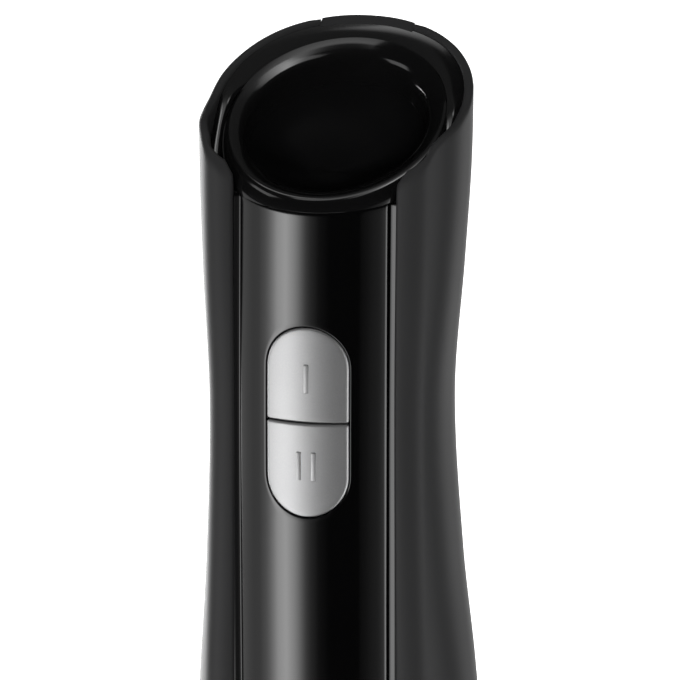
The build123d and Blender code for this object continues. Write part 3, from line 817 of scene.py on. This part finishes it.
SLOT_FINISHES = {
    "soft_grip": SOFT_TOUCH, "gloss_black": GLOSS, "satin_silver": SATIN_SILVER,
    "black_plastic": BLACK_PLASTIC, "grey_plastic": GREY_PLASTIC, "fan_plastic": NYLON,
    "board_green": BOARD, "film_cap": FILM, "ferrite": FERRITE, "rubber_black": RUBBER,
    "spring_steel": SPRING_WIRE, "zinc_steel": ZINC, "lamination": LAMINATION, "copper": COPPER,
    "bearing_steel": BEARING_STEEL, "carbon": CARBON, "stainless": STAINLESS, "bronze": BRONZE,
}


def dress_designed_nodes() -> None:
    """Gives every designed node the finish of its material slot."""
    slots = {part["node"]: part["material_slot"] for part in frame["record"]["subparts"]}
    for name, node in frame["nodes"].items():
        finish = SLOT_FINISHES[slots[name]]
        node.data.materials.clear()
        node.data.materials.append(finish.material())
    log.info("dressed %d designed nodes", len(frame["nodes"]))


# ---------------------------------------------------------------- grips


class Side(Enum):
    """Which side of the middle plane."""
    LEFT = -1
    RIGHT = 1


@dataclass(frozen=True)
class Grip:
    """One soft-touch side skin: its front lip, its sweeping rim and its straight rear edge."""
    side: Side
    bottom: float = 209.0
    lip_x: float = 21.8
    roll_in: float = 2.8
    roll_reach: float = 5.5
    rear_x: float = 12.0
    wall: float = 2.2
    round: float = 0.9
    columns: int = 64
    rows: int = 110
    lip_top: Path = field(default_factory=lambda: Path((366.0, -28.8), (370.0, -28.5), (373.3, -27.9),
                                                       (375.6, -26.6)))
    rim: Path = field(default_factory=lambda: Path(
        (-26.6, 375.6), (-24.6, 377.8), (-21.6, 380.1), (-17.5, 381.9), (-10.0, 383.3), (-3.0, 385.2),
        (4.0, 388.3), (12.0, 391.9), (24.3, 398.0)))

    def front_angle(self, level: Level) -> float:
        """Finds the front edge: the lip below, the rim's steep sweep above.

        Args:
            level: The outline at the wanted height.

        Returns:
            The angle in radians.
        """
        lip = FORM.angle_at_x(self.lip_x, level, rear=False)
        start = self.lip_top.samples[0][0]
        if level.z <= start:
            return lip
        swept = FORM.angle_at_y(self.lip_top.second_at(level.z), level)
        return max(lip, swept)

    def place(self, u: float, v: float) -> Vector:
        """Places one point of the outer surface.

        Args:
            u: 0 at the front edge, 1 at the rear edge.
            v: 0 at the bottom, 1 at the rim.

        Returns:
            The point of the right-hand grip, in millimetres.
        """
        crest = self.rim.at(u)
        top_level = FORM.at(crest[1])
        start, end = self.rim.at(0.0), self.rim.at(1.0)
        first = self.front_angle(FORM.at(start[1]))
        last = FORM.angle_at_x(self.rear_x, FORM.at(end[1]), rear=True)
        crest_angle = min(last, FORM.angle_at_y(crest[0], top_level)) if u < 1 else last
        share = (crest_angle - first) / (last - first)
        front = self.front_angle(FORM.at(blend(self.bottom, start[1], v)))
        level = FORM.at(blend(self.bottom, crest[1], v))
        rear = FORM.angle_at_x(self.rear_x, level, rear=True)
        angle = blend(front, rear, share)
        reach = (angle - front) * level.half_width
        roll = self.roll_in * (1.0 - min(reach / self.roll_reach, 1.0)) ** 2
        return FORM.point(angle, level, roll)

    def build(self) -> bpy.types.Object:
        """Builds the skin from a sheet that is laid on the form, thickened and rounded."""
        bm = bmesh.new()
        bmesh.ops.create_grid(bm, x_segments=self.columns, y_segments=self.rows, size=0.5)
        for vert in bm.verts:
            vert.co = self.place(vert.co.x + 0.5, vert.co.y + 0.5)
        bmesh.ops.scale(bm, vec=(self.side.value, 1, 1), verts=bm.verts)
        face_along(bm, (self.side.value, 0, 0))
        thicken(bm, self.wall, self.round)
        name = f"{self.side.name.lower()}_grip"
        return add_piece(f"{name}_skin", bm, "handle", "soft_grip", SOFT_TOUCH, [name])


# ---------------------------------------------------------------- front strip and buttons


@dataclass(frozen=True)
class StripForm:
    """The front strip's convex face: a round of one radius behind a slightly bowed foremost line."""
    radius: float = 26.0
    foremost: Path = field(default_factory=lambda: Path(
        (206, -31.2), (222, -32.3), (251, -32.4), (280, -32.7), (318, -32.9), (350, -32.3), (374, -31.7)))

    def front(self, z: float) -> float:
        """Gives the foremost line's depth at a height."""
        return self.foremost.second_at(z)

    def depth(self, x: float, rise: float = 0.0) -> float:
        """Gives how far the face lies behind its foremost line.

        Args:
            x: The distance from the middle plane.
            rise: How far the surface stands out from the face.

        Returns:
            The depth in millimetres.
        """
        reach = self.radius + rise
        return self.radius - math.sqrt(max(reach * reach - x * x, 0.0))


STRIP = StripForm()
BUTTONS_Z = 318.0


@dataclass(frozen=True)
class Capsule:
    """An upright capsule outline in the XZ plane."""
    half: float
    low: float
    high: float

    def spine(self, z: float) -> Vector:
        """Gives the nearest point of the capsule's middle line."""
        return Vector((0.0, 0.0, min(max(z, self.low + self.half), self.high - self.half)))

    def edge(self, x: float, z: float) -> Vector:
        """Gives the outline's point in the direction of a place outside or inside.

        Args:
            x: The place's width.
            z: The place's height.

        Returns:
            The point, with Y at 0.
        """
        middle = self.spine(z)
        away = Vector((x, 0.0, z)) - middle
        return middle + away.normalized() * self.half


@dataclass(frozen=True)
class FrontStrip:
    """The gloss strip between the grips' lips, with a ledge along each side and the capsule opening."""
    bottom: float = 208.2
    top: float = BUTTONS_Z + 56.0
    shaped_from: float = BUTTONS_Z + 34.0
    face_half: float = 16.6
    wall: float = 1.3
    round: float = 0.25
    gap_level: float = 374.45
    gap_slope: float = 0.254
    opening: Capsule = Capsule(10.05, BUTTONS_Z - 22.6, BUTTONS_Z + 22.6)
    face_columns: int = 36
    rows: int = 90
    rings: int = 8
    # from the face's rounded edge down to the ledge and along it to the seam by the grip: width and depth
    flank: tuple[tuple[float, float], ...] = (
        (16.78, 6.14), (16.95, 6.3), (17.12, 6.5), (17.26, 6.74), (17.36, 7.02), (17.42, 7.3), (17.45, 7.4),
        (17.51, 7.44), (17.6, 7.44), (18.1, 7.38), (18.7, 7.31), (19.3, 7.24), (19.44, 7.3), (19.56, 7.46),
        (19.65, 7.74), (19.72, 8.1), (19.8, 8.3))

    def stations(self) -> list[tuple[float, float]]:
        """Lists the cross-section's points from left to right, as width and depth."""
        count = self.face_columns // 2
        face = [(x, STRIP.depth(x)) for x in (self.face_half * k / count for k in range(count + 1))]
        right = face + list(self.flank)
        return [(-x, d) for x, d in reversed(right[1:])] + right

    def build(self) -> bpy.types.Object:
        """Builds the strip: a sheet with a capsule opening, laid on its form and thickened."""
        stations = self.stations()
        bm = bmesh.new()
        bmesh.ops.create_grid(bm, x_segments=len(stations) - 1, y_segments=self.rows, size=0.5)
        pitch = (self.top - self.bottom) / self.rows
        for vert in bm.verts:
            column = round((vert.co.x + 0.5) * (len(stations) - 1))
            vert.co = (*stations[column], blend(self.bottom, self.top, vert.co.y + 0.5))
        self._cut_opening(bm, pitch)
        for vert in bm.verts:
            x, depth, z = vert.co
            limit = self.gap_level + self.gap_slope * (STRIP.front(z) + depth)
            above = max(0.0, z - self.shaped_from) / (self.top - self.shaped_from)
            z = z + above * (limit - self.top)
            vert.co = (x, STRIP.front(z) + depth, z)
        face_along(bm, (0, -1, 0))
        thicken(bm, self.wall, self.round, 3)
        return add_piece("front_strip", bm, "handle", "gloss_black", GLOSS, ["front_fascia"])

    def _cut_opening(self, bm: bmesh.types.BMesh, pitch: float) -> None:
        """Opens the capsule and carries the sheet's grid up to its edge.

        Args:
            bm: The flat sheet, with depth along Y.
            pitch: The height of one row.
        """
        high = self.opening.high - BUTTONS_Z + 6.0
        wide = self.face_half - 2.5
        middles = {f: f.calc_center_median() for f in bm.faces}
        inside = [f for f, at in middles.items() if abs(at.x) < wide and abs(at.z - BUTTONS_Z) < high]
        bmesh.ops.delete(bm, geom=inside, context="FACES")
        loop = [e for e in bm.edges if e.is_boundary
                and all(abs(v.co.x) < self.face_half - 0.1 and abs(v.co.z - BUTTONS_Z) < high + pitch
                        for v in e.verts)]
        draw_rings(bm, loop, self.rings, self._towards_opening)

    def _towards_opening(self, origin: Vector, share: float) -> tuple[float, float, float]:
        """Places a point between the grid and the opening's edge.

        Args:
            origin: Where the grid was cut.
            share: 0 at the grid, 1 at the edge.

        Returns:
            The point on the flat sheet.
        """
        goal = self.opening.edge(origin.x, origin.z)
        x = blend(origin.x, goal.x, share)
        return x, STRIP.depth(x), blend(origin.z, goal.z, share)


@dataclass(frozen=True)
class SpeedButton:
    """One half of the capsule rocker, with its raised bars."""
    name: str
    upper: bool
    outline: Capsule = Capsule(9.5, BUTTONS_Z - 22.1, BUTTONS_Z + 22.1)
    gap: float = 0.38
    proud: float = 0.15
    skirt: float = 4.5
    edge_round: float = 0.55
    arc_steps: int = 40
    side_steps: int = 14
    base_steps: int = 24
    rings: int = 10
    bar_size: tuple[float, float, float] = (1.15, 1.0, 6.7)
    bar_spread: float = 1.72
    bar_sunk: float = 0.28
    bar_round: float = 0.22

    def build(self) -> bpy.types.Object:
        """Builds the button and its bars as one moulding."""
        bm = bmesh.new()
        self._cap(bm)
        self._bars(bm)
        return add_piece(f"speed_{self.name}", bm, self.name, "satin_silver", SATIN_SILVER, [self.name])

    def _cap(self, bm: bmesh.types.BMesh) -> None:
        """Makes the cap: an outline drawn in to its middle, laid on the strip's form, with a skirt.

        Args:
            bm: The mesh that takes it.
        """
        sign = 1 if self.upper else -1
        end = self.outline.high - self.outline.half if self.upper else self.outline.low + self.outline.half
        cut = BUTTONS_Z + sign * self.gap / 2
        half = self.outline.half
        points = [Vector((half * math.cos(math.pi * k / self.arc_steps), 0,
                          end + sign * half * math.sin(math.pi * k / self.arc_steps)))
                  for k in range(self.arc_steps + 1)]
        tall, wide = self.side_steps, self.base_steps
        side = [Vector((-half, 0, blend(end, cut, k / tall))) for k in range(1, tall + 1)]
        base = [Vector((blend(-half, half, k / wide), 0, cut)) for k in range(1, wide + 1)]
        back = [Vector((half, 0, blend(cut, end, k / tall))) for k in range(1, tall)]
        outline = points + side + base + back
        verts = [bm.verts.new(p) for p in outline]
        face = bm.faces.new(verts)
        heart = Vector((0, 0, blend(end, cut, 0.45)))
        border = list(face.edges)
        bmesh.ops.delete(bm, geom=[face], context="FACES_ONLY")
        draw_rings(bm, border, self.rings, lambda origin, share: origin.lerp(heart, share))
        bmesh.ops.remove_doubles(bm, verts=bm.verts, dist=0.01)
        face_along(bm, (0, -1, 0))
        rim = [e for e in bm.edges if e.is_boundary]
        for vert in bm.verts:
            vert.co.y = STRIP.front(vert.co.z) + STRIP.depth(vert.co.x, self.proud)
        made = bmesh.ops.extrude_edge_only(bm, edges=rim)["geom"]
        for vert in new_verts(made):
            vert.co.y += self.skirt
        bmesh.ops.contextual_create(bm, geom=new_edges(made))
        round_edges(bm, self.edge_round, 60.0, 5)

    def _bars(self, bm: bmesh.types.BMesh) -> None:
        """Adds the raised upright bars, one on the upper button and two side by side on the lower.

        Args:
            bm: The mesh that takes them.
        """
        if self.upper:
            bars = [(0.0, BUTTONS_Z + 10.3)]
        else:
            bars = [(-self.bar_spread, BUTTONS_Z - 10.1), (self.bar_spread, BUTTONS_Z - 10.1)]
        for x, z in bars:
            made = bmesh.ops.create_cube(bm, size=1.0)["verts"]
            bmesh.ops.scale(bm, vec=self.bar_size, verts=made)
            y = STRIP.front(z) + STRIP.depth(x, self.proud) + self.bar_sunk
            bmesh.ops.translate(bm, vec=(x, y, z), verts=made)
            edges = list({e for v in made for e in v.link_edges})
            bmesh.ops.bevel(bm, geom=edges, offset=self.bar_round, segments=3, profile=0.5, affect="EDGES",
                            material=-1)


# ---------------------------------------------------------------- thumb dish


@dataclass(frozen=True)
class ThumbDish:
    """The gloss top: a deep bowl in a round lip, cut by a slope, with a flange out to the grips' rim."""
    centre_y: float = -5.9
    radius: float = 25.95
    flange_inner: float = 25.2
    flange_from: float = -39.8
    flange_drop: float = 0.55
    valley: float = 5.2
    channel_floor: float = 366.4
    skirt_share: float = 0.94
    section_steps: int = 44
    level: float = 386.4
    slope: float = 0.515
    gap_level: float = 374.75
    gap_slope: float = 0.254
    steps: int = 128
    # the bowl and lip outwards from the middle, behind and in front: distance and height over the slope
    rear: Path = field(default_factory=lambda: Path(
        (0.0, -13.4), (7.0, -13.6), (12.5, -12.9), (16.5, -11.0), (19.3, -7.8), (20.6, -4.6), (21.1, -2.75),
        (21.7, -1.9), (23.0, -1.15), (24.4, -0.45), (25.1, -0.3), (25.65, -0.95), (25.95, -2.2)))
    front: Path = field(default_factory=lambda: Path(
        (0.0, -13.4), (5.0, -12.2), (10.0, -9.6), (15.0, -6.4), (18.5, -4.0), (21.0, -2.5), (22.6, -1.75),
        (23.8, -1.5), (24.8, -1.8), (25.5, -2.6), (25.95, -4.0)))

    def slope_at(self, y: float) -> float:
        """Gives the dish's sloping top plane at a depth."""
        return self.level + self.slope * y

    def build(self) -> bpy.types.Object:
        """Builds the bowl with its lip, and the flange round it, as one moulding."""
        bm = bmesh.new()
        self._bowl(bm)
        self._flange(bm)
        return add_piece("thumb_dish", bm, "handle", "gloss_black", DISH_GLOSS, ["dish_cap"])

    def _bowl(self, bm: bmesh.types.BMesh) -> None:
        """Turns the bowl's half section, then shears it to the slope.

        Args:
            bm: The mesh that takes it.
        """
        turned = bmesh.new()
        section = [self.rear.at(k / self.section_steps) for k in range(self.section_steps + 1)]
        verts = [turned.verts.new((p[0], 0, p[1])) for p in section]
        edges = [turned.edges.new(pair) for pair in zip(verts, verts[1:])]
        bmesh.ops.spin(turned, geom=verts + edges, cent=(0, 0, 0), axis=(0, 0, 1), angle=math.tau,
                       steps=self.steps, use_merge=True)
        bmesh.ops.remove_doubles(turned, verts=turned.verts, dist=0.01)
        for vert in turned.verts:
            reach = min(math.hypot(vert.co.x, vert.co.y), self.radius)
            forward = smoothstep(0.42 - 0.75 * vert.co.y / max(reach, 0.01))
            height = blend(vert.co.z, self.front.second_at(reach), forward)
            y = vert.co.y + self.centre_y
            vert.co = (vert.co.x, y, height + self.slope_at(y))
        rim = [e for e in turned.edges if e.is_boundary]
        made = bmesh.ops.extrude_edge_only(turned, edges=rim)["geom"]
        for vert in new_verts(made):
            vert.co.z = min(vert.co.z - 1.0, self.gap_level + self.gap_slope * vert.co.y)
        made = bmesh.ops.extrude_edge_only(turned, edges=new_edges(made))["geom"]
        for vert in new_verts(made):
            vert.co.x *= self.skirt_share
            vert.co.y = blend(self.centre_y, vert.co.y, self.skirt_share)
        bmesh.ops.remove_doubles(turned, verts=turned.verts, dist=0.0005)
        face_along(turned, (0, 0, 1))
        self._take(bm, turned)

    def flange_height(self, y: float) -> float:
        """Gives the flange's height: level with the lip behind, in a valley at the front corners."""
        sink = smoothstep((-1.5 - y) / 19.0)
        return self.slope_at(y) - self.flange_drop - self.valley * sink

    def _flange(self, bm: bmesh.types.BMesh) -> None:
        """Makes the flange between the lip and the grips, and the channel walls below its front ends.

        Args:
            bm: The mesh that takes it.
        """
        sheet = bmesh.new()
        across, around, down = 10, 150, 8
        bmesh.ops.create_grid(sheet, x_segments=around + 2 * down, y_segments=across, size=0.5)
        start = math.radians(self.flange_from)
        for vert in sheet.verts:
            step = round((vert.co.x + 0.5) * (around + 2 * down)) - down
            share = min(max(step / around, 0.0), 1.0)
            angle = blend(start, math.pi - start, share)
            outer = self._wall_point(angle)
            inner = Vector((math.cos(angle), math.sin(angle), 0)) * self.flange_inner
            inner.y += self.centre_y
            t = vert.co.y + 0.5
            place = inner.lerp(outer, t)
            dip = 0.9 * math.sin(math.pi * t) * smoothstep((4.0 - place.y) / 14.0)
            rise = 0.5 * t * t
            place.z = self.flange_height(place.y) - dip + rise
            over = max(-step, step - around, 0)
            place.z -= (place.z - self.channel_floor) * over / down
            vert.co = place
        face_along(sheet, (0, 0, 1))
        self._take(bm, sheet)

    def _wall_point(self, angle: float) -> Vector:
        """Finds where a ray from the lip's centre meets the grips' inner wall.

        Args:
            angle: The ray's direction.

        Returns:
            The point, with Z at 0.
        """
        level = FORM.at(380.0)
        away = Vector((math.cos(angle), math.sin(angle), 0))

        def outside(reach: float) -> float:
            """Tells how far a place on the ray lies outside the wall."""
            place = away * reach + Vector((0, self.centre_y, 0))
            turn = math.atan2(place.y - level.middle, abs(place.x))
            wall = FORM.point(turn, level, 2.0)
            return (Vector((abs(place.x), place.y - level.middle)).length
                    - Vector((wall.x, wall.y - level.middle)).length)

        return away * solve(outside, 15.0, 45.0) + Vector((0, self.centre_y, 0))

    @staticmethod
    def _take(bm: bmesh.types.BMesh, other: bmesh.types.BMesh) -> None:
        """Adds another mesh to this one, which uses it up."""
        kept = bpy.data.meshes.new("part")
        other.to_mesh(kept)
        other.free()
        bm.from_mesh(kept)
        bpy.data.meshes.remove(kept)


# ---------------------------------------------------------------- latch clip


@dataclass(frozen=True)
class LatchClip:
    """Half of the spring clip round the coupling socket, which its release button bends inwards."""
    side: Side
    height: float = 197.0
    wire: float = 0.62
    leg_y: float = 21.6
    arc_radius: float = 25.6
    corner: float = 1.2
    button_x: float = 23.6
    leg_steps: int = 6
    corner_steps: int = 3
    arc_steps: int = 18

    def build(self) -> bpy.types.Object:
        """Draws a ring of the wire along the leg and round the arc, mirrors it and lets it bend."""
        bm = bmesh.new()
        leg_end = math.sqrt(self.arc_radius ** 2 - self.leg_y ** 2)
        start = math.asin(self.leg_y / self.arc_radius)
        ring = bmesh.ops.create_circle(bm, segments=12, radius=self.wire)["verts"]
        bmesh.ops.rotate(bm, verts=ring, cent=(0, 0, 0), matrix=Matrix.Rotation(math.pi / 2, 3, "Y"))
        bmesh.ops.translate(bm, verts=ring, vec=(0.0, -self.leg_y, self.height))
        edges = list(bm.edges)
        for _ in range(self.leg_steps):
            edges = self._drawn(bm, edges, Vector(((leg_end - self.corner) / self.leg_steps, 0, 0)), 0.0)
        # the corner: the leg's direction turns into the arc's in a few short steps
        first = start - self.corner / self.arc_radius
        entry = Vector((self.arc_radius * math.cos(first), -self.arc_radius * math.sin(first), 0))
        step = (entry - Vector((leg_end - self.corner, -self.leg_y, 0))) / self.corner_steps
        for _ in range(self.corner_steps):
            edges = self._drawn(bm, edges, step, (math.pi / 2 - first) / self.corner_steps)
        bmesh.ops.spin(bm, geom=edges + list({v for e in edges for v in e.verts}), cent=(0, 0, self.height),
                       axis=(0, 0, 1), angle=first, steps=self.arc_steps, use_merge=False)
        bmesh.ops.mirror(bm, geom=bm.verts[:] + bm.edges[:] + bm.faces[:], matrix=Matrix.Identity(4),
                         merge_dist=0.02, axis="Y")
        bmesh.ops.remove_doubles(bm, verts=bm.verts, dist=0.01)
        bmesh.ops.holes_fill(bm, edges=[e for e in bm.edges if e.is_boundary], sides=0)
        bmesh.ops.scale(bm, vec=(self.side.value, 1, 1), verts=bm.verts)
        bmesh.ops.recalc_face_normals(bm, faces=bm.faces)
        name = self.side.name.lower()
        piece = add_piece(f"latch_clip_{name}", bm, None, "spring_steel", SPRING_WIRE, ["latch_clip"])
        along = self.side.value * MM
        still, pressed = ((along * x, 0, self.height * MM) for x in (leg_end, self.button_x))
        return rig.blend(piece, "handle", f"release_button_{name}", still, pressed)

    @staticmethod
    def _drawn(bm: bmesh.types.BMesh, edges: list[bmesh.types.BMEdge], step: Vector,
               turn: float) -> list[bmesh.types.BMEdge]:
        """Draws the wire on by one step.

        Args:
            bm: The mesh, in millimetres.
            edges: The ring at the wire's end.
            step: How far the end moves.
            turn: How far the end turns about Z, in radians.

        Returns:
            The new ring.
        """
        grown = bmesh.ops.extrude_edge_only(bm, edges=edges)["geom"]
        verts = new_verts(grown)
        bmesh.ops.translate(bm, verts=verts, vec=step)
        middle = sum((v.co for v in verts), Vector()) / len(verts)
        bmesh.ops.rotate(bm, verts=verts, cent=middle, matrix=Matrix.Rotation(turn, 3, "Z"))
        return [e for e in new_edges(grown) if all(v in verts for v in e.verts)]


# ---------------------------------------------------------------- studio


def direction(azimuth: float, elevation: float) -> Vector:
    """Gives a unit vector; azimuth 0 is in front and 90 degrees is to the right."""
    turn, tilt = math.radians(azimuth), math.radians(elevation)
    return Vector((math.sin(turn) * math.cos(tilt), -math.cos(turn) * math.cos(tilt), math.sin(tilt)))


@dataclass(frozen=True)
class LightCard:
    """A glowing card that only reflections see.

    Its glow runs through the stops, which are pairs of share and strength: across its width, or up its
    height when it is upright.
    """
    name: str
    azimuth: float
    elevation: float
    distance: float
    width: float
    height: float
    power: float
    stops: tuple[tuple[float, float], ...] = ((0.0, 0.0), (0.15, 1.0), (0.85, 1.0), (1.0, 0.0))
    aim: tuple[float, float, float] = (0.0, 0.0, 0.3)
    drop: float = 0.0
    upright: bool = False

    def build(self) -> None:
        """Hangs the card facing its aim."""
        away = direction(self.azimuth, self.elevation)
        bm = bmesh.new()
        bmesh.ops.create_grid(bm, x_segments=1, y_segments=1, size=0.5)
        bmesh.ops.scale(bm, vec=(self.width, self.height, 1), verts=bm.verts)
        card = new_object(self.name, bm)
        card.location = Vector(self.aim) + away * self.distance - Vector((0, 0, self.drop))
        card.rotation_euler = (-away).to_track_quat("Z", "Y").to_euler()
        made, net = Net.of_material(self.name)
        along = net.node("ShaderNodeSeparateXYZ", {}, {0: net.place()}, "Y" if self.upright else "X")
        share = along * (1.0 / (self.height if self.upright else self.width)) + 0.5
        stops = [(t, (v, v, v)) for t, v in self.stops]
        ramp = net.node("ShaderNodeValToRGB", {"stops": stops}, {0: share})
        net.surface(net.node("ShaderNodeEmission", {}, {"Color": ramp, "Strength": self.power}))
        card.data.materials.append(made)
        card.visible_camera = card.visible_diffuse = card.visible_shadow = False
        card.visible_transmission = card.visible_volume_scatter = False
        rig.stage(card)


KEY_STOPS = ((0.05, 0.0), (0.19, 0.012), (0.27, 0.056), (0.31, 0.12), (0.342, 0.257), (0.406, 0.674),
             (0.467, 0.99), (0.53, 0.78), (0.563, 0.51), (0.6, 0.3), (0.635, 0.19), (0.7, 0.105),
             (0.78, 0.092), (1.0, 0.115))
OVERHEAD_STOPS = ((0.42, 0.0), (0.45, 1.0), (0.53, 0.6), (0.58, 0.2), (0.65, 0.06), (1.0, 0.03))
CREST_STOPS = ((0.0, 0.0), (0.25, 0.4), (0.5, 1.0), (0.7, 0.3), (1.0, 0.1))
SOFT_STOPS = ((0.0, 0.0), (0.5, 1.0), (1.0, 0.0))
SIDE_STOPS = ((0.43, 0.0), (0.48, 1.0), (0.64, 1.0), (0.67, 0.55), (0.698, 0.16), (0.737, 0.065),
              (0.875, 0.025), (1.0, 0.008))
DISH_HEART = (0.0, 0.0, 0.39)


@dataclass(frozen=True)
class Studio:
    """The floor, the lights and the camera."""
    scale: float = 4.35
    azimuth: float = 14.5
    elevation: float = 15.0
    distance: float = 1.4
    look_z: float = 328.9
    shift_mm: float = 0.53
    picture: int = 680
    sensor: float = 36.0
    cards: tuple[LightCard, ...] = (
        LightCard("key_card", -40.0, 0.0, 0.6, 1.5, 0.86, 7.3, KEY_STOPS, drop=0.4),
        LightCard("side_card", 100.0, 0.0, 0.6, 2.2, 0.86, 4.2, SIDE_STOPS, drop=0.4),
        LightCard("left_rear_card", -128.0, 0.0, 0.8, 1.2, 1.2, 7.5, drop=0.3),
        LightCard("right_rear_card", 176.0, 0.0, 0.8, 0.6, 1.2, 2.0, drop=0.3),
        LightCard("overhead_card", 0.0, 86.0, 0.9, 0.6, 1.8, 1.8, OVERHEAD_STOPS, aim=DISH_HEART,
                  upright=True),
        LightCard("crest_card", 55.0, 75.0, 0.85, 0.5, 0.14, 6.0, CREST_STOPS, aim=DISH_HEART),
        LightCard("patch_card", -116.0, 70.0, 0.8, 0.16, 0.12, 3.0, SOFT_STOPS, aim=DISH_HEART),
        LightCard("upper_left_card", -64.0, 46.0, 0.9, 0.3, 0.2, 1.6, aim=DISH_HEART),
    )

    def build(self) -> None:
        """Sets up everything round the object."""
        self._floor()
        self._world()
        for card in self.cards:
            card.build()
        self._camera()

    def _floor(self) -> None:
        """Lays a pale floor that lights nothing by reflection."""
        bm = bmesh.new()
        bmesh.ops.create_grid(bm, x_segments=2, y_segments=2, size=6.0)
        floor = new_object("floor", bm)
        made, net = Net.of_material("pale_floor")
        net.surface(net.node("ShaderNodeBsdfPrincipled", {}, {
            "Base Color": (0.9, 0.9, 0.9, 1), "Roughness": 0.9, "Emission Color": (1, 1, 1, 1),
            "Emission Strength": 0.85}))
        floor.data.materials.append(made)
        floor.visible_glossy = False
        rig.stage(floor)

    def _world(self) -> None:
        """Lights the background white and keeps it out of the reflections, which the cards give."""
        world = bpy.data.worlds.new("studio")
        world.use_nodes = True
        bpy.context.scene.world = world
        net = Net(world.node_tree)
        white = net.node("ShaderNodeBackground", {}, {"Color": (1, 1, 1, 1), "Strength": 1.0})
        net.node("ShaderNodeOutputWorld", {}, {"Surface": white})
        world.cycles_visibility.glossy = False

    def _camera(self) -> None:
        """Points a long lens down at the handle's upper half."""
        turn = math.radians(self.azimuth)
        back = direction(self.azimuth, self.elevation)
        right = Vector((math.cos(turn), math.sin(turn), 0))
        target = Vector((0, 0, self.look_z * MM)) - right * self.shift_mm * MM
        lens = bpy.data.cameras.new("camera")
        lens.sensor_width = self.sensor
        lens.lens = self.sensor * self.distance / (self.picture / self.scale * MM)
        lens.clip_start, lens.clip_end = 0.05, 50.0
        camera = bpy.data.objects.new("camera", lens)
        camera.location = target + back * self.distance
        camera.rotation_euler = back.to_track_quat("Z", "Y").to_euler()
        bpy.context.scene.collection.objects.link(camera)
        bpy.context.scene.camera = camera
        bpy.context.scene.view_settings.view_transform = "Standard"


def main() -> None:
    """Builds every piece, then the studio."""
    logging.basicConfig(level=logging.INFO, format="%(name)s %(message)s")
    dress_designed_nodes()
    for side in Side:
        Grip(side).build()
    FrontStrip().build()
    SpeedButton("button_one", True).build()
    SpeedButton("button_two", False).build()
    ThumbDish().build()
    for side in Side:
        LatchClip(side).build()
    Studio().build()
    with open("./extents.json", "w", encoding="utf-8") as out:
        json.dump([[list(corner) for corner in CAD_BOX], [list(corner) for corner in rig.bounds()]], out)


if __name__ == "__main__":
    main()
